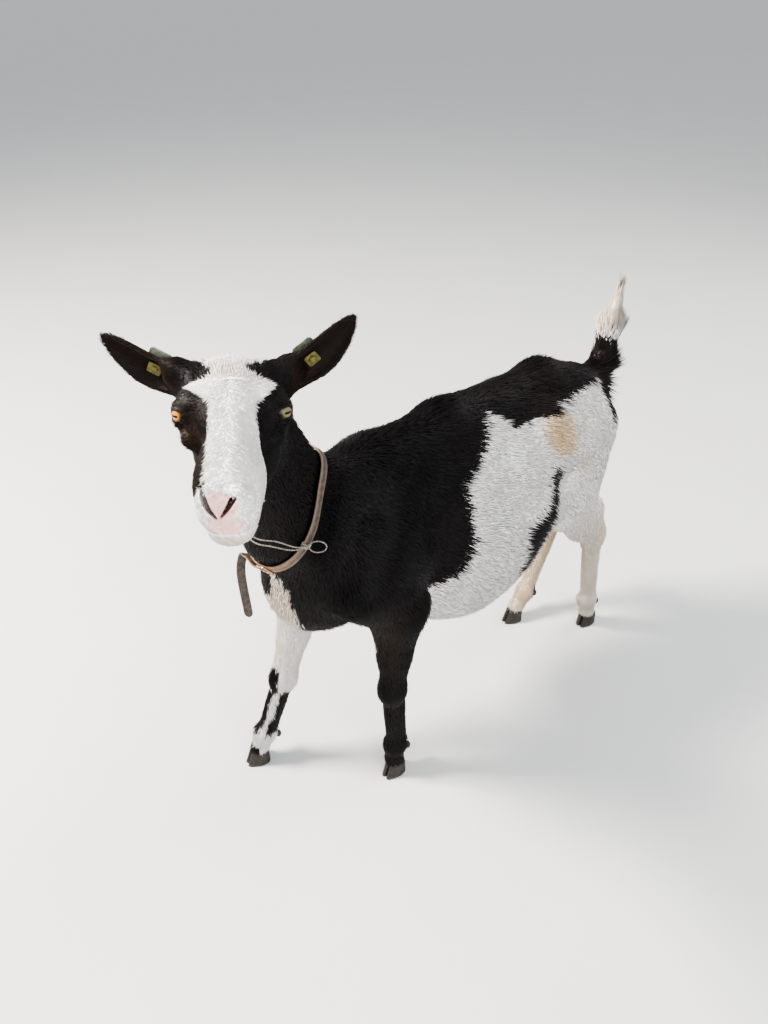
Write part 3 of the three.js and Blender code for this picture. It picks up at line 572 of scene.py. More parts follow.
class GoatFlesh(Flesh):
    """The standing doe."""

    def __init__(self) -> None:
        """Builds trunk, tail, legs, neck and head, in that order."""
        super().__init__()
        self._trunk()
        self._tail()
        for name, side in SIDES.items():
            self._foreleg(name, side, **FORE_JOINTS[name])
            self._hindleg(name, side, **HIND_JOINTS[name])
        self._neck()
        self._head()
        self.details = [MouthLine(), Philtrum()]
        for side in SIDES.values():
            self.details += [Lids(side), TearGroove(side), Nostril(side)]

    def _trunk(self) -> None:
        """Chest, belly, loin and rump."""
        body, belly = Region.BODY, Region.BELLY
        spine = (0.0, 1.0, -0.05)
        self.lump(BODY, 40, body, (0, 0.6, -0.8), "trunk", (0, -170, 545), (88, 158, 150))
        self.lump(BODY, 50, body, (0, 1, -0.45), "trunk", (0, -30, 520), (126, 190, 168))
        self.lump(BODY, 60, belly, (0, 1, -0.5), "trunk", (0, 18, 472), (150, 165, 138))
        self.lump(BODY, 60, belly, (0, 1, -0.4), "trunk", (0, 2, 396), (116, 164, 151))
        self.lump(BODY, 45, body, (0, 1, -0.55), "trunk", (0, 120, 488), (106, 160, 124))
        self.lump(BODY, 60, body, BACK, "trunk", (0, 125, 612), (80, 190, 86))
        self.lump(BODY, 60, body, (0, 0.8, -0.6), "trunk", (0, 240, 592), (76, 118, 92))
        self.limb(BODY, 60, body, spine, "trunk", (0, -250, 648), (0, -60, 680), (32, 26))
        self.limb(BODY, 60, body, spine, "trunk", (0, -60, 680), (0, 180, 690), (26, 26))
        self.limb(BODY, 50, body, (0, 1, -0.4), "trunk", (0, 180, 690), (0, 325, 634), (26, 26))
        self.lump(BODY, 50, Region.NECK, (0, 0.15, -1), "trunk", (-8, -337, 490), (71, 76, 104))
        self.limb(BODY, 60, belly, (0, 1, -0.1), "trunk", (0, -290, 425), (0, -60, 382), (44, 70))
        self.lump(BODY, 30, Region.LEG, (0, 0.3, -1), "trunk", (0, 245, 440), (40, 50, 46))
        self.limb(BODY, 40, body, DOWN, "trunk", (0, 300, 605), (0, 284, 500), (36, 36))
        for side in SIDES.values():
            self._flank(side)

    def _flank(self, side: int) -> None:
        """Hook, pin and shoulder bones and the fold of the flank, on one side."""
        body = Region.BODY
        self.limb(BODY, 60, body, BACK, "trunk", (side * 74, 140, 646), (side * 78, 176, 636), (18, 18))
        self.limb(BODY, 50, body, (0, 1, -0.6), "trunk", (side * 78, 60, 585), (side * 80, 200, 575), (40, 38))
        self.limb(BODY, 40, body, DOWN, "trunk", (side * 44, 300, 592), (side * 42, 328, 580), (28, 24))
        shoulder = (side * SHOULDER_WIDTH, -290, 505)
        self.limb(BODY, 50, body, (0, 0.7, -0.9), "trunk", (side * 44, -205, 640), shoulder, (34, 46))
        self.lump(BODY, 50, body, (0, 0.7, -0.8), "trunk", (side * 78, -235, 515), (44, 78, 95))
        fold_end = (side * 86, 196, 474)
        self.limb(BODY, 50, body, (0, 0.5, -1), "trunk", (side * 100, 70, 500), fold_end, (36, 27))

    def _tail(self) -> None:
        """The raised tail and its tip of long hair."""
        tail = Region.TAIL
        self.limb(BODY, 25, tail, (0, 0.7, 0.6), "tail", (0, 325, 640), (0, 372, 672), (24, 21))
        self.limb(BODY, 15, tail, (0, 0.2, 1), "tail", (0, 372, 672), (0, 378, 735), (22, 24))
        self.limb(BODY, 12, tail, (0, 0.15, 1), "tail", (0, 378, 735), (0, 388, 814), (24, 6))

    def _cannon(self, group: str, joint: Vec, fetlock: Vec, tendon: float) -> None:
        """The shank and the tendons behind it."""
        self.limb(BODY, 14, Region.LEG, DOWN, group, joint, fetlock, (20, 16))
        top = plus(between(joint, fetlock, 0.06), (0, tendon, 0))
        end = plus(between(joint, fetlock, 0.9), (0, 14, 0))
        self.limb(BODY, 14, Region.LEG, DOWN, group, top, end, (10, 10))

    def _pastern(self, group: str, fetlock: Vec, toe: Vec) -> None:
        """From the fetlock joint down."""
        sole = plus(toe, (0, HEEL_TO_TOE, 24))
        self.lump(BODY, 15, Region.PASTERN, DOWN, group, fetlock, (20, 22, 21))
        self.limb(BODY, 12, Region.PASTERN, DOWN, group, fetlock, sole, (17, 20))

    def _foreleg(self, name: str, side: int, elbow: Vec, knee: Vec, fetlock: Vec, toe: Vec) -> None:
        """Upper arm, forearm, knee, cannon and pastern."""
        group = f"foreleg_{name}"
        shoulder = (side * SHOULDER_WIDTH, -290, 505)
        self.limb(BODY, 45, Region.BODY, (0, 0.25, -1), "shoulder", shoulder, elbow, (50, 40))
        self.limb(BODY, 30, Region.BODY, DOWN, "shoulder", plus(elbow, (0, 30, 8)), elbow, (17, 22))
        self.limb(BODY, 30, Region.LEG, DOWN, group, elbow, knee, (41, 23), 0.9)
        low = between(plus(elbow, (0, -8, 0)), knee, 0.55)
        self.limb(BODY, 25, Region.LEG, DOWN, group, plus(elbow, (0, -16, -4)), low, (34, 22))
        self.lump(BODY, 18, Region.LEG, DOWN, group, knee, (22, 24, 29))
        self._cannon(group, knee, fetlock, 15)
        self._pastern(group, fetlock, toe)

    def _hindleg(self, name: str, side: int, hip: Vec, stifle: Vec, hock: Vec, fetlock: Vec, toe: Vec) -> None:
        """Thigh, gaskin, hock, cannon and pastern."""
        group = f"hindleg_{name}"
        body, leg = Region.BODY, Region.LEG
        buttock = (side * 50, 296, 560)
        thigh_end = between(hip, stifle, 0.85)
        self.limb(BODY, 50, body, (0, 0.5, -1), "thigh", hip, thigh_end, (78, 54), 0.62)
        gaskin_middle = between(stifle, hock, 0.5)
        self.limb(BODY, 50, body, (0, 0.2, -1), "thigh", buttock, gaskin_middle, (44, 32), 0.8)
        self.limb(BODY, 35, leg, (0, 0.5, -1), "thigh", stifle, hock, (46, 24), 0.8)
        tendon = plus(between(stifle, hock, 0.45), (0, 34, 18))
        self.limb(BODY, 30, leg, (0, 0.4, -1), group, tendon, plus(hock, (0, 22, 16)), (24, 11), 0.8)
        self.lump(BODY, 20, leg, DOWN, group, plus(hock, (0, 6, 2)), (19, 27, 32))
        self._cannon(group, hock, fetlock, 18)
        self._pastern(group, fetlock, toe)

    def _neck(self) -> None:
        """Crest, middle and throat of the neck, which turns to the goat's left as it rises."""
        neck = Region.NECK
        crest, side, throat = (-0.1, 0.5, -0.75), (-0.15, 0.45, -0.9), (-0.2, 0.25, -1.0)
        self.limb(BODY, 40, neck, crest, "neck", (0, -225, 645), (10, -333, 688), (46, 33))
        self.limb(BODY, 35, neck, crest, "neck", (10, -333, 688), (52, -431, 836), (30, 40))
        self.limb(BODY, 50, neck, side, "neck", (0, -290, 560), (14, -376, 642), (62, 44), 1.05)
        self.limb(BODY, 35, neck, side, "neck", (14, -376, 642), (66, -450, 797), (44, 44), 1.05)
        self.limb(BODY, 40, neck, throat, "neck", (0, -345, 530), (14, -396, 620), (54, 46), 1.12)
        self.limb(BODY, 35, neck, throat, "neck", (14, -396, 620), (74, -474, 788), (46, 32))

    def _head(self) -> None:
        """Skull, muzzle, jaw, cheeks, orbits and ears, in the head's own frame."""
        face, muzzle, poll = Region.FACE, Region.MUZZLE, Region.POLL
        back, forth = (0.0, 1.0, -0.3), (0.0, -0.9, -0.3)
        self.lump(HEAD, 25, face, back, "head", (0, 38, 14), (50, 58, 46))
        self.lump(HEAD, 25, face, (0, -0.4, 0.2), "head", (0, 2, 24), (44, 52, 32))
        self.limb(HEAD, 25, face, forth, "head", (0, -15, 22), (0, -122, -2), (33, 25), 0.95)
        self.lump(HEAD, 20, muzzle, (0, 0.5, -0.8), "head", (0, -116, -10), (34.5, 38, 28))
        self.lump(HEAD, 14, muzzle, (0, 0.4, -1), "head", (0, -138, -24), (30, 22, 18))
        self.limb(HEAD, 22, face, (0, 1, -0.5), "head", (0, -20, -42), (0, -118, -42), (31, 23), 1.12)
        self.lump(HEAD, 12, muzzle, (0, 0.9, -0.4), "head", (0, -130, -50), (22, 19, 14))
        self.lump(HEAD, 20, poll, (0, 0.8, 0.6), "head", (0, 56, 50), (40, 28, 16))
        for name, side in SIDES.items():
            self._cheek(side)
            lie = np.array(EAR_TIPS[name]) - np.array(mirrored(EarLeaf.root, side))
            tip = EAR_TIPS[name]
            self.muscles.append(EarLeaf(HEAD, 16, Region.EAR, tuple(lie), "ear", side, tip))

    def _cheek(self, side: int) -> None:
        """Jaw muscle, nostril wing, orbit and brow on one side."""
        face, muzzle = Region.FACE, Region.MUZZLE
        back = (side * 0.15, 1, -0.35)
        self.lump(HEAD, 25, face, back, "head", (side * 28, 18, -22), (24, 50, 42))
        self.lump(HEAD, 25, face, back, "head", (side * 28, 46, -36), (20, 26, 28))
        self.lump(HEAD, 10, muzzle, (side, 0.5, 0), "head", (side * 14, -146, -4), (12, 12, 13))
        self.lump(HEAD, 22, face, (side * 0.6, 0.2, -0.6), "head", (side * 13, -82, -8), (22, 36, 26))
        self.lump(HEAD, 16, face, (side * 0.3, 1, 0), "head", (side * 46, 4, 25), (17, 25, 21))
        self.lump(HEAD, 18, face, (side, 0.3, 0.2), "head", (side * 42, 6, 42), (14, 22, 9))
        self.limb(HEAD, 16, face, back, "head", (side * 46, -22, 4), (side * 48, 26, 4), (11, 11))
        root_lie = (side, 0.1, 0.5)
        self.limb(HEAD, 22, face, root_lie, "head", (side * 36, 52, 28), (side * 64, 60, 48), (24, 19))


# ------------------------------------------------------------------ details of the face


@dataclass
class FaceDetail:
    """A fold or opening that is pressed into the face, in the head's frame.

    Attributes:
        side: 1 on the goat's left and -1 on its right.
        middle: the middle of the place that the detail changes, for the goat's left.
        reach: how far from its middle the detail changes the skin.
    """

    side: int = 1
    middle: Vec = (0.0, 0.0, 0.0)
    reach: float = 30.0

    def centre(self) -> Vec:
        """The middle of the detail on its own side."""
        return mirrored(self.middle, self.side)

    def pressed(self, points: Array, distance: Array) -> Array:
        """The distance to the skin with the detail, for points of the head's frame near it."""
        raise NotImplementedError

    def shaped(self, points: Array, distance: Array) -> Array:
        """The distance to the skin with the detail.

        Args:
            points: places in the goat's frame.
            distance: the distance without the detail.

        Returns:
            The changed distance.
        """
        gap = np.linalg.norm(points - HEAD.goat(self.centre()), axis=1)
        near = gap < self.reach
        if not near.any():
            return distance
        result = distance.copy()
        result[near] = self.pressed(HEAD.own(points[near]), distance[near])
        return result


def groove(points: Array, path: list[Vec], radius: float) -> Array:
    """Distance to a round groove along a path."""
    nearest = np.full(len(points), 1000.0)
    for start, end in zip(path, path[1:]):
        span = np.array(end, float) - np.array(start, float)
        offset = points - np.array(start, float)
        part = bounded(offset @ span / (span @ span))
        nearest = np.minimum(nearest, np.linalg.norm(offset - part[:, None] * span, axis=1))
    return nearest - radius


@dataclass
class Lids(FaceDetail):
    """The lids around one eyeball, their opening and the crease above them."""

    middle: Vec = EYE.place
    reach: float = 34.0
    thickness: float = 2.1
    half_width: float = 13.0
    upper: float = 6.3
    lower: float = 5.6
    crease: float = 4.4
    crease_depth: float = 0.9
    slant: float = 0.2

    def opening(self, points: Array) -> tuple[Array, Array, Array, Array]:
        """Where points of the goat's frame are seen from the eyeball's centre.

        Returns:
            Millimetres inside the opening, millimetres above its upper edge, distance from the centre,
            and distance out along the gaze.
        """
        nose, up, out = ((points - EYE.centre(self.side)) @ EYE.axes(self.side).T).T
        span = np.sqrt(nose**2 + up**2 + out**2)
        along = EYE.radius * np.arctan2(nose, out)
        height = EYE.radius * np.arctan2(up, np.hypot(nose, out))
        height = height - self.slant * along
        arch = np.sqrt(np.maximum(1 - (along / self.half_width) ** 2, 0))
        past_corner = np.maximum(np.abs(along) - self.half_width, 0)
        above = height - self.upper * arch
        inside = np.minimum(-above, height + self.lower * arch) - past_corner
        return inside, above, span, out

    def pressed(self, points: Array, distance: Array) -> Array:
        """Wraps the lids over the eyeball and cuts their opening."""
        inside, above, span, out = self.opening(HEAD.goat(points))
        lidded = melted(distance, span - EYE.radius - self.thickness, 7.0)
        in_front = bounded(out / 8)
        crease = np.exp(-(((above - self.crease) / 1.5) ** 2)) * bounded(1 + inside / 20)
        lidded = lidded + self.crease_depth * crease * in_front
        hollow = least(inside, span - EYE.radius + 1.4, out - 1.0)
        return cut(lidded, hollow, 1.3)


@dataclass
class TearGroove(FaceDetail):
    """The shallow groove that runs from the eye's inner corner towards the nose."""

    middle: Vec = (50.0, -28.0, 14.0)
    reach: float = 26.0

    def pressed(self, points: Array, distance: Array) -> Array:
        """Presses the groove in softly."""
        path = [(self.side * 56, -20, 20), (self.side * 49, -29, 13), (self.side * 42, -39, 6)]
        return cut(distance, -groove(points, path, 3.4), 6.0)


@dataclass
class Nostril(FaceDetail):
    """A comma-shaped nostril: wide above and outside, and narrow where it runs down to the lip's groove."""

    reach: float = 26.0
    parting: float = -3.0
    depth: float = 9.0
    SLITS = {
        1: [(12.4, 4.5, 1.8), (9.5, 2.0, 3.0), (5.5, -4.0, 2.4), (1.0, -10.0, 1.6), (-3.0, -15.0, 0.8)],
        -1: [(19.0, 13.0, 2.0), (18.5, 7.0, 3.0), (17.0, 0.0, 3.4), (13.0, -8.0, 2.6), (7.5, -16.0, 1.2)],
    }

    def centre(self) -> Vec:
        """The middle of the slit."""
        return (self.parting + self.side * 10, -154, 2)

    def slit(self, points: Array) -> Array:
        """Millimetres outside the slit as it is seen from the front, negative in it."""
        path = self.SLITS[self.side]
        across = (points[:, 0] - self.parting) * self.side
        nearest = np.full(len(points), 100.0)
        for (x, z, radius), (next_x, next_z, next_radius) in zip(path, path[1:]):
            span = np.array([next_x - x, next_z - z])
            offset = np.stack([across - x, points[:, 2] - z], 1)
            part = bounded(offset @ span / (span @ span))
            away = np.linalg.norm(offset - part[:, None] * span, axis=1)
            nearest = np.minimum(nearest, away - (radius + (next_radius - radius) * part))
        return nearest

    def pressed(self, points: Array, distance: Array) -> Array:
        """Raises the wing of the nostril and sinks the slit into the skin."""
        path = [(self.parting + self.side * across, y, z) for across, y, z in ((21, -143, -2), (17, -148, 9))]
        wing = groove(points, path, 6.0)
        raised = melted(distance, wing, 8.0)
        hollow = most(self.slit(points), -raised - self.depth, points[:, 1] + 132)
        return cut(raised, -hollow, 1.2)

    def shade(self, head: Array) -> Array:
        """How dark the inside of the nostril is at places in the head's frame, from 0 to 1."""
        near = (head[:, 1] < -130) & (head[:, 1] > -175)
        return bounded(0.7 - self.slit(head) / 0.8) * near


@dataclass
class MouthLine(FaceDetail):
    """The line of the mouth, from corner to corner around the front."""

    middle: Vec = (0.0, -125.0, -40.0)
    reach: float = 62.0
    corner: Vec = (31.0, -92.0, -33.0)
    front: Vec = (0.0, -157.0, -41.0)

    def pressed(self, points: Array, distance: Array) -> Array:
        """Presses the line where it meets the skin."""
        steps = np.linspace(-1, 1, 15)
        height = self.front[2] + (self.corner[2] - self.front[2]) * np.abs(steps) ** 3
        level = np.interp(points[:, 1], [self.front[1], -125, self.corner[1]], [height[7], -41.5, height[0]])
        fade = bounded((self.corner[1] - points[:, 1]) / 10)
        press = 1.7 * np.exp(-(((points[:, 2] - level) / 1.3) ** 2)) * fade
        lip = 0.9 * np.exp(-(((points[:, 2] - level - 4.2) / 2.6) ** 2)) * fade
        return distance + press - lip * 0.6


@dataclass
class Philtrum(FaceDetail):
    """The short upright groove that parts the upper lip."""

    middle: Vec = (-3.0, -160.0, -22.0)
    reach: float = 28.0

    def pressed(self, points: Array, distance: Array) -> Array:
        """Presses a narrow line along the middle of the lip."""
        window = bounded((-14 - points[:, 2]) / 4) * bounded((points[:, 2] + 42) / 4)
        front = bounded((-145 - points[:, 1]) / 5)
        return distance + 1.5 * np.exp(-(((points[:, 0] + 7) / 1.2) ** 2)) * window * front


# ------------------------------------------------------------------ markings


def within(values: Array, table: list[tuple[float, float]]) -> Array:
    """Values read off a line through a few places, given from low to high."""
    places, results = zip(*table)
    return np.interp(values, places, results)


def blob(points: Array, centre: Vec, radii: Vec) -> Array:
    """Rough distance into an ellipsoid in millimetres, positive inside."""
    scaled = (points - np.array(centre, float)) / np.array(radii, float)
    return (1 - np.linalg.norm(scaled, axis=1)) * min(radii)


class Markings:
    """Where the coat is white, pink, cream or brown, with painted sunlight in part of the cream and the brown and
    painted shade in the flank's fold. Whiteness is in millimetres, positive on white.
    """

    BLAZE_LEFT = [(-80, 70), (-56, 36), (-40, 27), (-22, 29), (-12, 41), (0, 47), (17, 46), (24, 37), (30, 19)]
    BLAZE_LEFT_TOP = [(39, 18), (48, 34), (80, 32)]
    BLAZE_RIGHT = [(-151, 45), (-141, 25), (-119, 20), (-77, 22), (-54, 22), (-26, 21), (-12, 31), (0, 44)]
    BLAZE_RIGHT_TOP = [(14, 51), (22, 47), (29, 22), (38, 19), (45, 31), (80, 29)]
    FRONT_EDGE = [(415, -175), (430, -150), (455, -113), (512, -97), (586, -93), (617, -92), (634, -60)]
    FRONT_EDGE_TOP = [(660, -26), (700, 0)]
    SADDLE_EDGE = [(-1, 700), (15, 684), (35, 668), (70, 659), (110, 664), (151, 673), (207, 676), (328, 670)]
    # Edges of a dark band of painted shade where the flank folds into the thigh.
    FOLD_FRONT = [(384, 30), (408, 14), (426, 18), (479, 10), (508, 20), (515, 40), (526, 68), (544, 89), (584, 100)]
    FOLD_REAR = [(384, 42), (408, 46), (440, 62), (479, 78), (515, 100), (544, 125), (584, 117)]
    CHEST_EDGE = [(400, 8), (441, 29), (480, 36), (524, 36), (545, 28), (565, 18)]
    CHEST_INNER = [(400, -70), (440, -44), (480, -20), (520, 4), (565, 12)]

    def whiteness(self, points: Array) -> Array:
        """How far places are inside the white of the coat.

        Args:
            points: places in the goat's frame.

        Returns:
            Millimetres, negative on the dark coat.
        """
        head = HEAD.own(points)
        on_head = (np.abs(head[:, 0]) < 175) & (head[:, 1] < 105) & (0.6 * head[:, 2] - 0.8 * head[:, 1] > -70)
        on_head &= (points[:, 1] < -380) & (points[:, 2] > 740)
        white = np.where(on_head, self._face(head), self._body(points))
        return white + (2.4 * ripple(points, 26, 3) + 1.2 * ripple(points, 9, 4)) * np.where(on_head, 0.5, 1.0)

    def _face(self, head: Array) -> Array:
        """The blaze, its two lobes over the brows and the white muzzle."""
        x, y, z = head.T
        left = within(y, self.BLAZE_LEFT + self.BLAZE_LEFT_TOP) - x
        right = x + within(y, self.BLAZE_RIGHT + self.BLAZE_RIGHT_TOP)
        blaze = np.minimum(left, right)
        brow = np.where(y > -14, z - 40, 60)
        blaze = np.minimum(blaze, brow)
        jaw = np.where(y > -45, z + 8, 60)
        blaze = np.minimum(blaze, jaw)
        chin = np.minimum(-14 - z, -104 - y)
        nape = 84 - y
        return np.minimum(np.maximum(blaze, chin), nape)

    def _body(self, points: Array) -> Array:
        """White flanks, belly, hind legs and right foreleg under a dark saddle, and a dark band of painted shade where
        the left flank folds into the thigh.
        """
        x, y, z = points.T
        front = y - within(z, self.FRONT_EDGE + self.FRONT_EDGE_TOP)
        saddle = within(y, self.SADDLE_EDGE) - z
        glimpse = 42 * np.exp(-(((y + 58) / 17) ** 2))
        far_saddle = saddle + glimpse - 6
        far_front = front + 30
        flank = np.where(x < 8, np.minimum(far_front, far_saddle), np.minimum(front, saddle))
        # Painted shade: the left flank is dark in its fold into the thigh.
        fold = np.minimum(y - within(z, self.FOLD_FRONT), within(z, self.FOLD_REAR) - y)
        flank = np.minimum(flank, -least(fold, x - 60, 586 - z, z - 384))
        under_tail = least(y - 304, 34 + (670 - z) * 0.9 - np.abs(x), z - 602)
        flank = np.minimum(flank, -under_tail)
        chest = least(within(z, self.CHEST_EDGE) - x, 572 - z, -322 - y)
        chest = np.minimum(chest, x - within(z, self.CHEST_INNER))
        white = np.maximum(flank, chest)
        on_tail = (z > 655) & (y > 334) & (np.abs(x) < 40)
        white = np.where(on_tail, (z - 716) * 0.7, white)
        white = np.where((z < 430) & (y < -150), self._forelegs(points), white)
        fetlock = blob(points, (-50, 330, 72), (26, 24, 24))
        return np.minimum(white, -fetlock)

    @staticmethod
    def around_leg(points: Array, top: Vec, bottom: Vec) -> Array:
        """Degrees around a shank: 0 at its front, and more towards the goat's left."""
        part = bounded((top[2] - points[:, 2]) / (top[2] - bottom[2]))
        centre = np.array(top, float) + (np.array(bottom, float) - np.array(top, float)) * part[:, None]
        return np.degrees(np.arctan2(points[:, 0] - centre[:, 0], centre[:, 1] - points[:, 1]))

    def _forelegs(self, points: Array) -> Array:
        """A dark left foreleg, and a white right one with a dark patch on its knee and a dark shank."""
        x, y, z = points.T
        joints = FORE_JOINTS["right"]
        facing = self.around_leg(points, joints["knee"], joints["fetlock"])
        stripe = (np.abs(facing - 33 + (150 - z) * 0.12) - 25) * 0.3
        shank = least(z - 90, 203 - z + (facing > 60) * 6, stripe)
        knee = np.minimum(22 - np.abs(z - 228), 30 - np.abs(facing - 4))
        toe = np.minimum(54 - z, 30 - np.abs(facing + 12))
        right_white = -most(shank, knee * 0.6, toe * 0.5)
        right_white = np.minimum(right_white, -(y + 245) * 0.4)
        right_white = np.where(z > 330, np.minimum(right_white, 60 - (z - 330) * 0.2), right_white)
        spot = blob(points, (78, -262, 352), (10, 12, 14))
        brisket = np.where((z > 330) & (np.abs(x) < 60) & (y > -345), -22 - x, -30)
        brisket = np.maximum(brisket, np.where((y > -178) & (z > 340), (y + 178) * 0.6, -30))
        chest = within(z, self.CHEST_EDGE) - x
        right = np.maximum(right_white, brisket)
        left = np.where((z > 380) & (y < -340), chest, np.maximum(spot, brisket))
        return np.where(x < -22, right, left)

    def pinkness(self, points: Array) -> Array:
        """How much bare pink skin shows, from 0 to 1, on the nose and lips."""
        head = HEAD.own(points)
        nose = blob(head, (-5, -158, -2), (20, 16, 17))
        lips = blob(head, (-2, -158, -28), (26, 16, 20)) * 0.5
        return np.clip(np.maximum(nose, lips) / 4, 0, 0.9)

    def stain(self, points: Array) -> Array:
        """How much cream or yellow the white is, from 0 to 1: real stains, and on the hind legs painted yellowish
        sunlight.
        """
        head = HEAD.own(points)
        x, y, z = points.T
        spots = 0.55 * bounded(blob(head, (-6, 24, 60), (15, 14, 14)) / 9)
        spots += 0.9 * bounded(blob(points, (98, 130, 640), (52, 46, 52)) / 18)
        spots += 0.4 * bounded(blob(points, (124, 190, 556), (30, 22, 56)) / 14)
        # Painted sunlight: the hind legs turn cream, most of all the far one.
        hind = bounded((y - 170) / 120) * bounded((520 - z) / 200) * np.where(x < 0, 0.75, 0.4)
        tail = bounded((z - 700) / 40) * (y > 330)
        chest = 0.5 * bounded(blob(points, (10, -380, 500), (70, 60, 90)) / 30)
        chest += 0.2 * bounded(blob(points, (-80, -370, 300), (60, 80, 150)) / 30)
        chin = 0.4 * bounded(blob(head, (0, -146, -52), (20, 20, 12)) / 6)
        return bounded(spots + hind + 0.5 * tail + chest + chin + 0.08 * ripple(points, 40, 6))

    def brown(self, points: Array) -> Array:
        """How brown the dark coat is, from 0 to 1: partly the coat's own brown, and partly painted sunlight on the
        goat's right cheek and the left foreleg's upper front.
        """
        head = HEAD.own(points)
        # Painted sunlight: the goat's right side of the face is made browner where sun fell on it.
        side = bounded((-head[:, 0] - 22) / 14) * bounded(1 - np.abs(head[:, 2] - 8) / 48)
        face = side * (head[:, 1] < 40) * (head[:, 1] > -160) * (np.abs(head[:, 0]) < 80)
        ear = 0.5 * (np.abs(head[:, 0]) > 66) * (np.abs(head[:, 1] - 60) < 70) * (head[:, 2] > 0)
        # Painted sunlight on the left foreleg's upper front.
        foreleg = 0.6 * bounded(blob(points, (100, -270, 380), (60, 50, 90)) / 30)
        flank = 0.2 * bounded((points[:, 1] + 60) / 200)
        return bounded(0.9 * face + ear + foreleg + flank + 0.1 + 0.1 * ripple(points, 60, 8))

    def shade(self, points: Array) -> Array:
        """How dark the skin is inside the nostrils and at the lids' edges, from 0 to 1."""
        head = HEAD.own(points)
        shade = np.zeros(len(points))
        for side in SIDES.values():
            shade = np.maximum(shade, Nostril(side).shade(head))
            inside, _, span, _ = Lids(side).opening(points)
            rim = (inside > -1.3) & (span < EYE.radius + 6)
            shade = np.maximum(shade, rim.astype(float) * 0.9)
        return shade


# ------------------------------------------------------------------ meshes from numbers


def mesh_from(name: str, vertices: Array, faces: Iterable, place: Placement) -> Mesh:
    """A smooth mesh in metres from vertices in millimetres."""
    mesh = bpy.data.meshes.new(name)
    mesh.from_pydata(place.metres(vertices).tolist(), [], [list(map(int, face)) for face in faces])
    mesh.update()
    mesh.shade_smooth()
    return mesh


def numbers_of(elements: Iterable, name: str, kind: type = np.float32, width: int = 3) -> Array:
    """What a mesh's elements hold under a name, in rows of `width` numbers."""
    values = np.empty(len(elements) * width, kind)
    elements.foreach_get(name, values)
    return values.reshape(-1, width)


def shown(name: str, mesh: Mesh) -> Object:
    """An object of the scene with this mesh."""
    piece = bpy.data.objects.new(name, mesh)
    bpy.context.scene.collection.objects.link(piece)
    return piece


def put_value(mesh: Mesh, name: str, values: Array) -> None:
    """Stores one number, or one vector, on each vertex of a mesh."""
    kind = "FLOAT" if values.ndim == 1 else "FLOAT_VECTOR"
    attribute = mesh.attributes.new(name, kind, "POINT")
    attribute.data.foreach_set("value" if values.ndim == 1 else "vector", values.astype(np.float32).ravel())


def fitted(piece: Object, material: Material, slot: str, *nodes: str) -> Object:
    """Gives a finished piece its material, hangs it on the root body and hides the frame's nodes that it stands for.
    """
    piece.data.materials.clear()
    piece.data.materials.append(material)
    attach(piece, ROOT)
    if nodes:
        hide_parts(*nodes)
    LOG.info("%s: %d faces", piece.name, len(piece.data.polygons))
    return piece


# ------------------------------------------------------------------ the skin


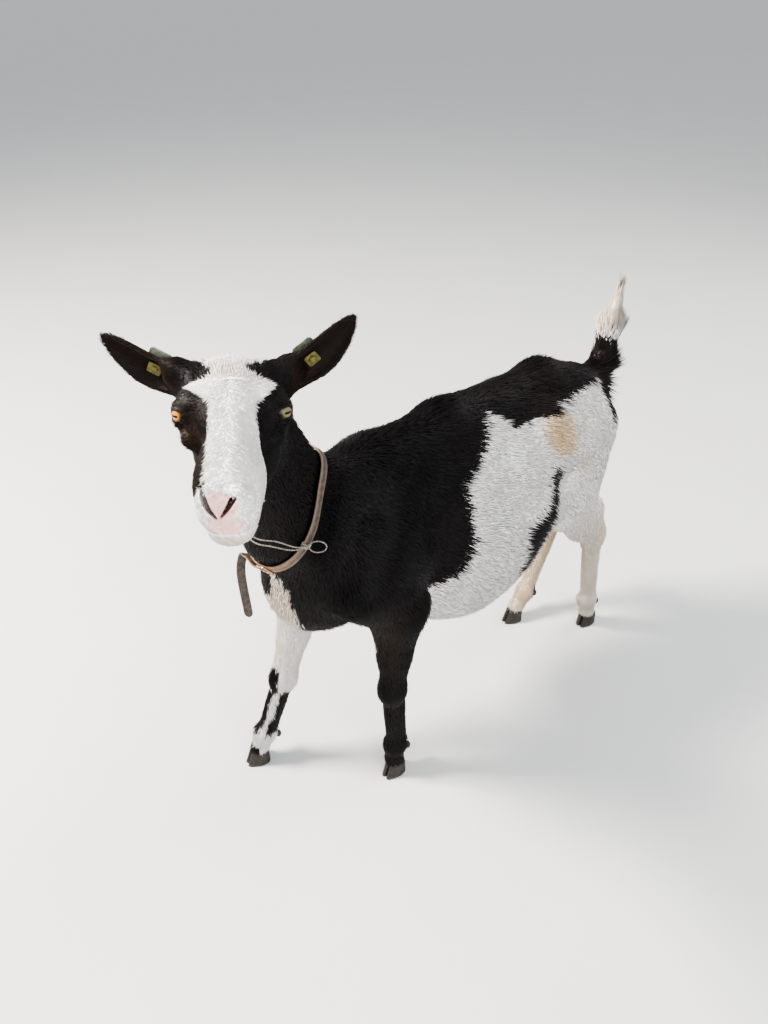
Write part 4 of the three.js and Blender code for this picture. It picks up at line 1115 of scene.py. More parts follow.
@dataclass
class SkinNet:
    """A net of even faces laid over a surface that a distance describes."""

    distance: Callable[[Array], Array]
    low: Vec
    high: Vec
    cell: float
    pose: Pose = BODY
    stride: int = 4

    def _levels(self) -> Array:
        """Distances at the grid's nodes, exact only where the surface can be."""
        nodes = np.ceil((np.array(self.high) - np.array(self.low)) / self.cell / self.stride).astype(int)
        coarse_axes = [np.arange(count + 1) * self.cell * self.stride for count in nodes]
        coarse = np.stack(np.meshgrid(*coarse_axes, indexing="ij"), -1).reshape(-1, 3) + np.array(self.low)
        rough = self.distance(self.pose.goat(coarse)).reshape(nodes + 1)
        fine = np.repeat(np.repeat(np.repeat(rough, self.stride, 0), self.stride, 1), self.stride, 2)
        fine = fine[tuple(slice(0, count * self.stride + 1) for count in nodes)]
        near = np.abs(rough) < self.cell * self.stride * 1.6
        touched = np.zeros(nodes, bool)
        for corner in np.ndindex(2, 2, 2):
            touched |= near[tuple(slice(o, o + count) for o, count in zip(corner, nodes))]
        wanted = np.zeros(fine.shape, bool)
        spread = np.repeat(np.repeat(np.repeat(touched, self.stride, 0), self.stride, 1), self.stride, 2)
        for corner in np.ndindex(2, 2, 2):
            wanted[tuple(slice(o, o + size) for o, size in zip(corner, spread.shape))] |= spread
        places = np.argwhere(wanted)
        fine[wanted] = self.distance(self.pose.goat(places * self.cell + np.array(self.low)))
        return fine

    def woven(self) -> tuple[Array, Array]:
        """The net.

        Returns:
            Vertices in the goat's frame, and faces of four.
        """
        levels = self._levels()
        size = np.array(levels.shape)
        inside = levels < 0
        count = np.zeros(size - 1, np.int8)
        for corner in np.ndindex(2, 2, 2):
            count += inside[tuple(slice(o, o + n - 1) for o, n in zip(corner, size))]
        mixed = (count > 0) & (count < 8)
        cells = np.argwhere(mixed)
        number = np.full(size - 1, -1)
        number[mixed] = np.arange(len(cells))
        vertices = self._crossings(levels, cells)
        faces = np.concatenate([self._walls(inside, number, axis) for axis in range(3)])
        return self.pose.goat(np.array(self.low) + vertices * self.cell), faces

    def _crossings(self, levels: Array, cells: Array) -> Array:
        """The mean place, in cells, where the surface crosses each cell's edges."""
        total, count = np.zeros((len(cells), 3)), np.zeros(len(cells))
        for corner in np.ndindex(2, 2, 2):
            for axis in (a for a in range(3) if not corner[a]):
                other = list(corner)
                other[axis] = 1
                start, end = (levels[tuple((cells + o).T)] for o in (corner, other))
                crossed = (start < 0) != (end < 0)
                part = np.where(crossed, start / np.where(crossed, start - end, 1), 0)
                place = np.tile(np.array(corner, float), (len(cells), 1))
                place[:, axis] = part
                total += place * crossed[:, None]
                count += crossed
        return cells + total / count[:, None]

    def _walls(self, inside: Array, number: Array, axis: int) -> Array:
        """The faces across the grid's edges along one axis."""
        start = [slice(None)] * 3
        end = [slice(None)] * 3
        start[axis], end[axis] = slice(0, -1), slice(1, None)
        edges = np.argwhere(inside[tuple(start)] != inside[tuple(end)])
        across = [other for other in range(3) if other != axis]
        for other in across:
            edges = edges[(edges[:, other] > 0) & (edges[:, other] < inside.shape[other] - 1)]
        corners = []
        for first, second in ((0, 0), (1, 0), (1, 1), (0, 1)):
            cell = edges.copy()
            cell[:, across[0]] -= 1 - first
            cell[:, across[1]] -= 1 - second
            corners.append(number[tuple(cell.T)])
        faces = np.stack(corners, 1)
        turned = inside[tuple(edges.T)] == (axis == 1)
        faces[turned] = faces[turned][:, ::-1]
        return faces


def settled(distance: Callable, vertices: Array, steps: int = 3, probe: float = 0.4) -> Array:
    """Vertices moved straight onto the surface that a distance describes."""
    for _ in range(steps):
        gap, slope = slope_of(distance, vertices, probe)
        move = slope * (gap / np.maximum((slope**2).sum(1), 0.3))[:, None]
        far = np.maximum(np.linalg.norm(move, axis=1, keepdims=True) / 3.0, 1)
        vertices = vertices - move / far
    return vertices


def slope_of(distance: Callable, points: Array, probe: float = 0.4) -> tuple[Array, Array]:
    """The distance at points, and the direction and rate in which it grows."""
    steps = np.concatenate([np.zeros((1, 3)), np.eye(3) * probe, -np.eye(3) * probe])
    values = distance((points[None] + steps[:, None]).reshape(-1, 3)).reshape(7, -1)
    return values[0], ((values[1:4] - values[4:7]) / (2 * probe)).T


@dataclass
class Skin:
    """One closed skin over the whole body: a fine net on the head and a coarser one elsewhere."""

    flesh: GoatFlesh
    place: Placement
    head_cell: float = 2.25
    body_cell: float = 6.0
    seam_point: Vec = (0.0, 62.0, -30.0)
    seam_normal: Vec = (0.0, -0.8, 0.6)
    seam_width: float = 2.2
    fine_spots: tuple[tuple[Vec, float], ...] = (
        ((53.0, -10.0, 26.0), 23.0),
        ((-53.0, -10.0, 26.0), 23.0),
        ((0.0, -152.0, -18.0), 33.0),
    )

    NODES = (
        ["trunk", "neck", "head", "tail", "ear_left", "ear_right"]
        + [f"{part}_{side}" for part in ("forearm", "fore_shank", "gaskin", "hind_shank") for side in SIDES]
    )

    def build(self, material: Material, markings: Markings) -> Object:
        """Makes the skin, stores the markings on it and puts it in the scene."""
        mesh = self._joined()
        store_markings(mesh, markings, self.place.millimetres(mesh))
        return fitted(shown("skin", mesh), material, "dark_coat", *self.NODES)

    def _joined(self) -> Mesh:
        """The head's net and the body's net, trimmed and joined at the seam."""
        shape = bmesh.new()
        body = SkinNet(self.flesh.distance, (-172, -520, 22), (172, 425, 905), self.body_cell)
        head = SkinNet(self.flesh.distance, (-160, -176, -112), (160, 116, 126), self.head_cell, HEAD)
        loops = [self._trimmed(shape, body, -1), self._trimmed(shape, head, 1)]
        self._sew(shape, *loops)
        self._refine(shape)
        bmesh.ops.triangulate(shape, faces=shape.faces[:])
        points = np.array([vertex.co[:] for vertex in shape.verts])
        for vertex, point in zip(shape.verts, settled(self.flesh.distance, points)):
            vertex.co = self.place.metres(point)
        bmesh.ops.recalc_face_normals(shape, faces=shape.faces[:])
        mesh = bpy.data.meshes.new("skin")
        shape.to_mesh(mesh)
        shape.free()
        mesh.shade_smooth()
        return mesh

    def _trimmed(self, shape: BMesh, net: SkinNet, keep: int) -> list[BMVert]:
        """Adds a net's faces on one side of the seam, and returns the loop that they end in."""
        vertices, faces = net.woven()
        vertices = settled(self.flesh.distance, vertices, 2)
        mesh = bpy.data.meshes.new("net")
        mesh.from_pydata(vertices.tolist(), [], faces.tolist())
        part = bmesh.new()
        part.from_mesh(mesh)
        normal = Vector(HEAD.turned(self.seam_normal))
        point = Vector(HEAD.goat(self.seam_point)) + normal * self.seam_width / 2 * keep
        everything = part.verts[:] + part.edges[:] + part.faces[:]
        bmesh.ops.bisect_plane(
            part, geom=everything, plane_co=point, plane_no=normal, clear_inner=keep > 0, clear_outer=keep < 0
        )
        loose = [vertex for vertex in part.verts if not vertex.link_faces]
        bmesh.ops.delete(part, geom=loose, context="VERTS")
        part.to_mesh(mesh)
        part.free()
        first = len(shape.verts)
        shape.from_mesh(mesh)
        bpy.data.meshes.remove(mesh)
        shape.verts.ensure_lookup_table()
        return [vertex for vertex in shape.verts[first:] if vertex.is_boundary]

    def _sew(self, shape: BMesh, near: list, far: list) -> None:
        """Closes the seam with a strip of triangles between two loops."""
        out = HEAD.turned(self.seam_normal)
        middle = np.mean([vertex.co[:] for vertex in near], axis=0)
        side = flat_to(np.array([1.0, 0.0, 0.0]), out)
        up = np.cross(out, side)

        def by_angle(loop: list) -> list[tuple[float, BMVert]]:
            """The loop's vertices with their angles, in order."""
            offsets = np.array([vertex.co[:] for vertex in loop]) - middle
            angles = np.arctan2(offsets @ up, offsets @ side)
            return sorted(zip(angles.tolist(), loop), key=lambda pair: pair[0])

        rows = [by_angle(near), by_angle(far)]
        turns = [row + [(row[0][0] + 2 * math.pi, row[0][1])] for row in rows]
        i = j = 0
        while i < len(rows[0]) or j < len(rows[1]):
            first = j >= len(rows[1]) or (i < len(rows[0]) and turns[0][i + 1][0] < turns[1][j + 1][0])
            a, b = turns[0][i][1], turns[1][j][1]
            third = turns[0][i + 1][1] if first else turns[1][j + 1][1]
            shape.faces.new((a, b, third))
            i, j = (i + 1, j) if first else (i, j + 1)

    def _refine(self, shape: BMesh) -> None:
        """Halves the faces around the eyes and at the front of the muzzle."""
        spots = [(Vector(HEAD.goat(centre)), reach) for centre, reach in self.fine_spots]
        edges = set()
        for face in shape.faces:
            middle = face.calc_center_median()
            if any((middle - centre).length < reach for centre, reach in spots):
                edges.update(face.edges)
        bmesh.ops.subdivide_edges(shape, edges=list(edges), cuts=1, use_grid_fill=True)


def store_markings(mesh: Mesh, markings: Markings, points: Array) -> None:
    """Stores on a mesh what its materials read, for places in the goat's frame."""
    put_value(mesh, "white", bounded(0.5 + markings.whiteness(points) / 3.0))
    put_value(mesh, "pink", markings.pinkness(points))
    put_value(mesh, "stain", markings.stain(points))
    put_value(mesh, "brown", markings.brown(points))
    put_value(mesh, "shade", markings.shade(points))


# ------------------------------------------------------------------ node trees


class Tree:
    """A node tree that is built by name, for shaders and geometry alike."""

    def __init__(self, tree: NodeTree) -> None:
        """Starts from an empty tree."""
        self.tree = tree
        tree.nodes.clear()

    def node(self, kind: str, inputs: dict | None = None, **properties) -> Node:
        """Adds a node.

        Args:
            kind: the node's type.
            inputs: socket names or numbers, each with a value or with another node's output.
            properties: the node's own settings.

        Returns:
            The new node.
        """
        node = self.tree.nodes.new(kind)
        for name, value in properties.items():
            setattr(node, name, value)
        for name, value in (inputs or {}).items():
            self._feed(node.inputs[name], value)
        return node

    def give(self, node: Node, **inputs) -> None:
        """Gives a node's inputs, by their names with underscores, values or other nodes' outputs."""
        for name, value in inputs.items():
            self._feed(node.inputs[name.replace("_", " ")], value)

    def _feed(self, socket: NodeSocket, value: object) -> None:
        """Links a socket to another node's output, or sets its value."""
        if isinstance(value, NodeSocket):
            self.tree.links.new(value, socket)
        else:
            socket.default_value = value

    def math(self, operation: str, *values, clamp: bool = False) -> NodeSocket:
        """Adds a maths node and returns its result."""
        numbered = dict(enumerate(values))
        return self.node("ShaderNodeMath", numbered, operation=operation, use_clamp=clamp).outputs[0]

    def attribute(self, name: str) -> NodeSocket:
        """The number that a mesh stores under a name."""
        return self.node("ShaderNodeAttribute", attribute_name=name).outputs["Fac"]

    def mix(self, factor, first, second) -> NodeSocket:
        """Mixes two colours."""
        return self.node("ShaderNodeMix", {0: factor, 6: first, 7: second}, data_type="RGBA").outputs[2]

    def length(self, across: NodeSocket, height: NodeSocket) -> NodeSocket:
        """The length of a flat vector."""
        squares = [self.math("POWER", value, 2.0) for value in (across, height)]
        return self.math("SQRT", self.math("ADD", *squares))

    def noise(self, vector, scale: float, detail: float = 3.0, roughness: float = 0.55) -> NodeSocket:
        """Smooth noise from 0 to 1."""
        inputs = {"Vector": vector, "Scale": scale, "Detail": detail, "Roughness": roughness}
        return self.node("ShaderNodeTexNoise", inputs).outputs["Fac"]

    def ranged(self, value, low: float, high: float, to_low: float = 0.0, to_high: float = 1.0):
        """A value moved from one range to another, and kept in it."""
        inputs = {"Value": value, "From Min": low, "From Max": high, "To Min": to_low, "To Max": to_high}
        return self.node("ShaderNodeMapRange", inputs).outputs["Result"]

    def bump(self, height, strength: float, distance: float) -> NodeSocket:
        """A normal that is bent by a height."""
        inputs = {"Height": height, "Strength": strength, "Distance": distance}
        return self.node("ShaderNodeBump", inputs).outputs["Normal"]

    def object_place(self) -> NodeSocket:
        """The place on the object in metres."""
        return self.node("ShaderNodeTexCoord").outputs["Object"]


def rgb(red: float, green: float, blue: float) -> tuple[float, float, float, float]:
    """A colour that a socket takes."""
    return (red, green, blue, 1.0)


class EffectGroup:
    """A shader node group with named inputs and outputs, built once and used by many materials."""

    name = "effect"
    inputs: dict[str, tuple[str, object]] = {}
    outputs: dict[str, str] = {}

    def fill(self, tree: Tree, given: Node, result: Node) -> None:
        """Builds the effect between the group's input and output nodes."""
        raise NotImplementedError

    def group(self) -> NodeTree:
        """The group, which is made the first time that it is asked for."""
        known = bpy.data.node_groups.get(self.name)
        if known:
            return known
        group = bpy.data.node_groups.new(self.name, "ShaderNodeTree")
        for name, (kind, value) in self.inputs.items():
            socket = group.interface.new_socket(name, in_out="INPUT", socket_type=kind)
            socket.default_value = value
        for name, kind in self.outputs.items():
            group.interface.new_socket(name, in_out="OUTPUT", socket_type=kind)
        tree = Tree(group)
        self.fill(tree, tree.node("NodeGroupInput"), tree.node("NodeGroupOutput"))
        return group

    def placed(self, tree: Tree, **inputs) -> Node:
        """Places the group in a material with its own values."""
        node = tree.node("ShaderNodeGroup", node_tree=self.group())
        tree.give(node, **inputs)
        return node


NUMBER, COLOUR = "NodeSocketFloat", "NodeSocketColor"


class CoatColours(EffectGroup):
    """The colours of hair or of the skin under it, from the markings that both carry."""

    name = "coat colours"
    inputs = {
        "White": (NUMBER, 0.0),
        "Pink": (NUMBER, 0.0),
        "Stain": (NUMBER, 0.0),
        "Brown": (NUMBER, 0.0),
        "Tint": (NUMBER, 0.5),
        "Along": (NUMBER, 0.5),
    }
    outputs = {"Colour": COLOUR, "Roughness": NUMBER}

    def fill(self, tree: Tree, given: Node, result: Node) -> None:
        """Mixes black, brown, white, cream and pink."""
        tint, along = given.outputs["Tint"], given.outputs["Along"]
        # Brown in the dark coat is partly its own tint and partly painted sunlight.
        dark = tree.mix(given.outputs["Brown"], rgb(0.0085, 0.0082, 0.0098), rgb(0.036, 0.018, 0.0105))
        dark = tree.mix(tree.ranged(tint, 0.5, 1.0, 0.0, 0.5), dark, rgb(0.024, 0.0215, 0.024))
        pale = tree.mix(tree.ranged(tint, 0.0, 1.0), rgb(0.78, 0.76, 0.74), rgb(0.94, 0.93, 0.91))
        # The cream is partly real stains and partly painted sunlight.
        pale = tree.mix(given.outputs["Stain"], pale, rgb(0.74, 0.54, 0.33))
        # Painted shade: pale hair darkens towards each tuft's root.
        pale = tree.mix(tree.ranged(along, 0.0, 0.5, 0.2, 0.0), pale, rgb(0.6, 0.5, 0.44))
        pink = tree.mix(tree.ranged(tint, 0.0, 1.0), rgb(0.66, 0.34, 0.3), rgb(0.82, 0.52, 0.46))
        pale = tree.mix(given.outputs["Pink"], pale, pink)
        colour = tree.mix(given.outputs["White"], dark, pale)
        rough = tree.ranged(given.outputs["White"], 0.0, 1.0, 0.52, 0.64)
        tree.give(result, Colour=colour, Roughness=rough)


class Grain(EffectGroup):
    """Fine unevenness for a surface: a mask and a height."""

    name = "grain"
    inputs = {"Place": ("NodeSocketVector", (0, 0, 0)), "Scale": (NUMBER, 100.0), "Contrast": (NUMBER, 0.5)}
    outputs = {"Mask": NUMBER, "Height": NUMBER}

    def fill(self, tree: Tree, given: Node, result: Node) -> None:
        """Two sizes of noise, one inside the other."""
        place, scale = given.outputs["Place"], given.outputs["Scale"]
        broad = tree.noise(place, scale, 4.0, 0.5)
        fine = tree.noise(place, tree.math("MULTIPLY", scale, 5.3), 2.0, 0.5)
        both = tree.math("ADD", tree.math("MULTIPLY", broad, 0.7), tree.math("MULTIPLY", fine, 0.3))
        centred = tree.math("SUBTRACT", both, 0.5)
        gain = tree.math("ADD", tree.math("MULTIPLY", given.outputs["Contrast"], 4.0), 1.0)
        mask = tree.math("ADD", tree.math("MULTIPLY", centred, gain), 0.5, clamp=True)
        tree.give(result, Mask=mask, Height=both)

    def over(self, tree: Tree, place: NodeSocket, scale: float, contrast: float) -> tuple[NodeSocket, NodeSocket]:
        """Places the grain in a material, and returns its mask and its height."""
        node = self.placed(tree, Place=place, Scale=scale, Contrast=contrast)
        return node.outputs["Mask"], node.outputs["Height"]


class Finish:
    """A material of the goat or of what it wears."""

    name = "finish"

    def dress(self, tree: Tree, shader: Node) -> None:
        """Connects the shader's inputs."""
        raise NotImplementedError

    def material(self) -> Material:
        """The material, which is made the first time that it is asked for."""
        known = bpy.data.materials.get(self.name)
        if known:
            return known
        material = bpy.data.materials.new(self.name)
        material.use_nodes = True
        tree = Tree(material.node_tree)
        shader = tree.node("ShaderNodeBsdfPrincipled")
        tree.node("ShaderNodeOutputMaterial", {"Surface": shader.outputs[0]})
        self.dress(tree, shader)
        return material


class HairFinish(Finish):
    """The hair of the coat, which shines a little along each tuft."""

    name = "goat hair"
    softness = 0.78

    def dress(self, tree: Tree, shader: Node) -> None:
        """Colours each tuft by its markings and darkens it towards its root with painted shade."""
        names = ("white", "pink", "stain", "brown", "tint", "along")
        values = {name.capitalize(): tree.attribute(name) for name in names}
        colours = CoatColours().placed(tree, **values)
        tree.give(shader, Base_Color=colours.outputs["Colour"], Roughness=colours.outputs["Roughness"])
        geometry = tree.node("ShaderNodeNewGeometry").outputs["Normal"]
        away = tree.node("ShaderNodeAttribute", attribute_name="away").outputs["Vector"]
        soft = tree.node("ShaderNodeMix", {0: self.softness, 4: geometry, 5: away}, data_type="VECTOR")
        tree.give(shader, Specular_IOR_Level=0.22, Sheen_Weight=0.05, Sheen_Roughness=0.4)
        tree.give(shader, Normal=soft.outputs[1])


class SkinFinish(Finish):
    """The short undercoat and bare skin under the tufts, with the same markings."""

    name = "goat skin"

    def dress(self, tree: Tree, shader: Node) -> None:
        """Colours the skin by the markings and gives it the grain of short hair."""
        place = tree.object_place()
        strand = tree.node("ShaderNodeMapping", {"Vector": place, "Scale": (1.0, 0.32, 1.0)})
        mask, relief = Grain().over(tree, strand.outputs[0], 420.0, 0.6)
        values = {name.capitalize(): tree.attribute(name) for name in ("white", "pink", "stain", "brown")}
        colours = CoatColours().placed(tree, Tint=mask, Along=0.5, **values)
        bare = tree.attribute("pink")
        height = tree.mix(bare, relief, tree.noise(place, 1500.0, 1.0))
        rough = tree.mix(bare, colours.outputs["Roughness"], rgb(0.34, 0.34, 0.34))
        normal = tree.bump(height, 0.55, 0.0006)
        colour = tree.mix(tree.attribute("shade"), colours.outputs["Colour"], rgb(0.028, 0.012, 0.011))
        tree.give(shader, Base_Color=colour, Roughness=rough, Normal=normal)
        tree.give(shader, Specular_IOR_Level=tree.ranged(bare, 0.0, 1.0, 0.15, 0.45))


# ------------------------------------------------------------------ the coat


@dataclass
class Lock:
    """One tuft of hair: a thin closed spindle, one long, that leans up from its root and back down."""

    name: str
    sweep: float
    arch: float
    belly: float = 0.36

    def build(self) -> Object:
        """Makes the tuft with its root at the origin, its length along Y and the skin's outside along Z."""
        points = [(0, 0, -0.02), (-0.5, self.belly, 0), (0.5, self.belly, 0), (0, self.belly, 0.9), (0, 1, 0)]
        vertices = np.array(points, float)
        vertices[:, 0] += self.sweep * vertices[:, 1] ** 2
        vertices[:, 2] += self.arch * np.sin(np.pi * bounded(vertices[:, 1]))
        faces = [(0, 1, 2), (0, 3, 1), (0, 2, 3), (4, 2, 1), (4, 1, 3), (4, 3, 2)]
        mesh = bpy.data.meshes.new(self.name)
        mesh.from_pydata(vertices.tolist(), [], faces)
        mesh.shade_smooth()
        put_value(mesh, "along", vertices[:, 1])
        patch = np.stack([vertices[:, 0] * 0.5, vertices[:, 1] - 0.5, np.zeros(5)], 1)
        put_value(mesh, "patch", patch)
        return shown(self.name, mesh)


@dataclass
class TuftTree:
    """Geometry nodes that set a lock of hair on every point, turned and sized by the point's own values."""

    name: str = "tufts on points"

    def build(self) -> NodeTree:
        """Builds the tree with its named inputs."""
        group = bpy.data.node_groups.new(self.name, "GeometryNodeTree")
        face = group.interface
        face.new_socket("Points", in_out="INPUT", socket_type="NodeSocketGeometry")
        face.new_socket("Locks", in_out="INPUT", socket_type="NodeSocketCollection")
        face.new_socket("Length", in_out="INPUT", socket_type=NUMBER).default_value = 1.0
        face.new_socket("Width", in_out="INPUT", socket_type=NUMBER).default_value = 1.0
        face.new_socket("Material", in_out="INPUT", socket_type="NodeSocketMaterial")
        face.new_socket("Coat", in_out="OUTPUT", socket_type="NodeSocketGeometry")
        tree = Tree(group)
        given, result = tree.node("NodeGroupInput"), tree.node("NodeGroupOutput")
        inputs = {"Collection": given.outputs["Locks"], "Separate Children": True, "Reset Children": True}
        locks = tree.node("GeometryNodeCollectionInfo", inputs)
        inputs = {"Primary Axis": self._stored(tree, "lie"), "Secondary Axis": self._stored(tree, "away")}
        turn = tree.node("FunctionNodeAxesToRotation", inputs, primary_axis="Y", secondary_axis="Z")
        width = given.outputs["Width"]
        factors = tree.node("ShaderNodeCombineXYZ", {"X": width, "Y": given.outputs["Length"], "Z": width})
        inputs = {0: self._stored(tree, "size"), 1: factors.outputs[0]}
        size = tree.node("ShaderNodeVectorMath", inputs, operation="MULTIPLY")
        inputs = {"Points": given.outputs["Points"], "Instance": locks.outputs[0], "Pick Instance": True}
        inputs |= {"Instance Index": self._stored(tree, "kind", "INT")}
        inputs |= {"Rotation": turn.outputs[0], "Scale": size.outputs[0]}
        tufts = tree.node("GeometryNodeInstanceOnPoints", inputs)
        real = tree.node("GeometryNodeRealizeInstances", {"Geometry": tufts.outputs[0]})
        inputs = {"Geometry": real.outputs[0], "Material": given.outputs["Material"]}
        tree.give(result, Coat=tree.node("GeometryNodeSetMaterial", inputs).outputs[0])
        return group

    @staticmethod
    def _stored(tree: Tree, name: str, kind: str = "FLOAT_VECTOR") -> NodeSocket:
        """What the points store under a name."""
        node = tree.node("GeometryNodeInputNamedAttribute", {"Name": name}, data_type=kind)
        return node.outputs["Attribute"]


@dataclass
class Roots:
    """Where tufts grow, and how.

    Attributes:
        place: of each root in the goat's frame.
        away: the skin's outside there.
        lie: the direction of each tuft.
        size: width, length and thickness of each tuft.
        tint: from 0 to 1, darker to paler.
    """

    place: Array
    away: Array
    lie: Array
    size: Array
    tint: Array

    def chosen(self, which: Array) -> Roots:
        """Some of the roots."""
        return Roots(*(getattr(self, name)[which] for name in ("place", "away", "lie", "size", "tint")))


@dataclass
class CoatPiece:
    """A part of the coat that is one object, and the way its skin unrolls."""

    name: str
    slot: str
    holds: Callable[[Array], Array]
    middle: Vec
    axis: Vec
    pose: Pose = BODY


@dataclass
class Coat:
    """The goat's hair."""

    flesh: GoatFlesh
    place: Placement
    markings: Markings
    skin: Object
    patch: float = 0.003
    limit: int = 33000

    def roots(self) -> Roots:
        """Scatters roots over the skin, closer where the hair is shorter."""
        random = np.random.default_rng(SEED)
        mesh = self.skin.data
        mesh.calc_loop_triangles()
        corners = numbers_of(mesh.loop_triangles, "vertices", np.int32)
        normals = numbers_of(mesh.vertex_normals, "vector").astype(float)
        sides = self.place.millimetres(mesh)[corners]
        area = np.linalg.norm(np.cross(sides[:, 1] - sides[:, 0], sides[:, 2] - sides[:, 0]), axis=1) / 200
        shares, _ = self.flesh.growth(sides.mean(1))
        wanted = area * (shares @ np.array([HAIR[region].density for region in Region]))
        total = np.cumsum(wanted)
        count = int(total[-1])
        marks = (np.arange(count) + random.uniform(0, 1, count)) * total[-1] / count
        triangle = np.minimum(np.searchsorted(total, marks), len(area) - 1)
        u, v = random.uniform(0, 1, (2, count))
        flip = u + v > 1
        u, v = np.where(flip, 1 - u, u), np.where(flip, 1 - v, v)
        weights = np.stack([1 - u - v, u, v], 1)[:, :, None]
        place = (sides[triangle] * weights).sum(1)
        away = unit((normals[corners[triangle]] * weights).sum(1))
        return self._grown(place, away, random)

    def _grown(self, place: Array, away: Array, random: np.random.Generator) -> Roots:
        """Gives each root its tuft's direction and size."""
        shares, lie = self.flesh.growth(place)
        lie = lie + self._outward(place)
        lie = flat_to(lie, away)
        across = np.cross(away, lie)

        def blended(name: str) -> Array:
            """One property of the hair at each root."""
            return shares @ np.array([getattr(HAIR[region], name) for region in Region])

        swirl = np.radians(10) * ripple(place, 90, 21) + np.radians(7) * ripple(place, 24, 22)
        turn = swirl + np.radians(blended("stray")) * random.normal(0, 0.6, len(place))
        lie = lie * np.cos(turn)[:, None] + across * np.sin(turn)[:, None]
        under_tail = bounded(blob(place, (0, 348, 636), (52, 36, 54)) / 16)
        lift = np.radians(blended("lift") + 26 * under_tail) * random.uniform(0.55, 1.45, len(place))
        direction = lie * np.cos(lift)[:, None] + away * np.sin(lift)[:, None]
        tip = bounded((place[:, 2] - 738) / 40) * (place[:, 1] > 334)
        direction = unit(direction + tip[:, None] * 2.2 * np.array([0.06, 0.16, 1.0]))
        long = blended("length") * random.uniform(0.62, 1.3, len(place)) * (1 + 0.15 * ripple(place, 50, 23))
        head = HEAD.own(place)
        wisp = bounded(blob(head, (35, -100, -30), (10, 10, 8)) / 4)
        long = long * (1 + 2.6 * wisp + 0.5 * under_tail + 0.35 * tip)
        wide = blended("width") * random.uniform(0.7, 1.35, len(place))
        size = np.stack([wide, long, wide * 0.55], 1)
        tint = bounded(random.normal(0.5, 0.2, len(place)) + 0.14 * ripple(place, 30, 24))
        return Roots(place, away, direction, size, tint)

    @staticmethod
    def _outward(place: Array) -> Array:
        """Hair on the bridge of the nose parts to both sides, and so does hair along the spine."""
        head = HEAD.own(place)
        on_nose = (np.abs(head[:, 0]) < 60) & (head[:, 1] < 10) & (head[:, 1] > -150) & (head[:, 2] > -30)
        on_nose &= np.abs(head[:, 2]) < 90
        nose = HEAD.turned(np.stack([np.tanh(head[:, 0] / 8), np.zeros(len(head)), np.zeros(len(head))], 1))
        spine = np.stack([np.tanh(place[:, 0] / 25), np.zeros(len(place)), np.zeros(len(place))], 1) * 0.35
        on_spine = (place[:, 1] > -260) & (place[:, 2] > 420)
        return nose * on_nose[:, None] * 1.1 + spine * on_spine[:, None]

    def build(self, material: Material, pieces: list[CoatPiece]) -> None:
        """Grows every piece of the coat."""
        roots = self.thinned(self.roots())
        LOG.info("roots: %d", len(roots.place))
        taken = np.zeros(len(roots.place), bool)
        locks = bpy.data.collections.new("locks")
        bpy.context.scene.collection.children.link(locks)
        shapes = [Lock("lock_straight", 0.0, 1.1), Lock("lock_left", -1.6, 1.0), Lock("lock_right", 1.6, 0.9)]
        for lock in [shape.build() for shape in shapes]:
            bpy.context.scene.collection.objects.unlink(lock)
            locks.objects.link(lock)
        tree = TuftTree().build()
        for piece in pieces:
            own = ~taken & piece.holds(roots.place)
            taken |= own
            self._piece(piece, roots.chosen(own), tree, locks, material)
        LOG.info("roots in no piece: %d", int((~taken).sum()))
        for lock in list(locks.objects):
            bpy.data.objects.remove(lock)
        bpy.data.collections.remove(locks)

    def thinned(self, roots: Roots) -> Roots:
        """Leaves out the roots inside the eyes' openings, the nostrils and the nose's bare skin."""
        random = np.random.default_rng(SEED + 1)
        keep = np.ones(len(roots.place), bool)
        for side in SIDES.values():
            inside, _, span, _ = Lids(side).opening(roots.place)
            keep &= ~((inside > -1.9) & (span < EYE.radius + 9))
        bare = self.markings.pinkness(roots.place)
        keep &= random.uniform(0, 1, len(bare)) > bare * 1.15
        return roots.chosen(keep)

    def _piece(self, piece: CoatPiece, roots: Roots, tree: NodeTree, locks, material) -> None:
        """Makes one object of hair."""
        if len(roots.place) > self.limit:
            LOG.warning("%s has %d tufts", piece.name, len(roots.place))
        random = np.random.default_rng(SEED + len(piece.name))
        seeds = bpy.data.meshes.new(piece.name)
        sunk = roots.place - roots.away * 0.4
        seeds.from_pydata(self.place.metres(sunk).tolist(), [], [])
        put_value(seeds, "lie", roots.lie)
        put_value(seeds, "away", roots.away)
        put_value(seeds, "size", roots.size * METRES)
        put_value(seeds, "unrolled", self._unrolled(piece, roots.place))
        put_value(seeds, "tint", roots.tint)
        self._mark(seeds, roots, random)
        kind = seeds.attributes.new("kind", "INT", "POINT")
        kind.data.foreach_set("value", random.integers(0, 3, len(roots.place)).astype(np.int32))
        base = shown(f"{piece.name}_points", seeds)
        modifier = base.modifiers.new("tufts", "NODES")
        modifier.node_group = tree
        values = {"Locks": locks, "Length": 1.0, "Width": 1.0, "Material": material}
        for item in tree.interface.items_tree:
            if item.in_out == "INPUT" and item.name in values:
                modifier[item.identifier] = values[item.name]
        bpy.context.view_layer.update()
        evaluated = base.evaluated_get(bpy.context.evaluated_depsgraph_get())
        mesh = bpy.data.meshes.new_from_object(evaluated)
        mesh.name = piece.name
        bpy.data.objects.remove(base)
        bpy.data.meshes.remove(seeds)
        self._bake_map(mesh)
        mesh.shade_smooth()
        fitted(shown(piece.name, mesh), material, piece.slot)

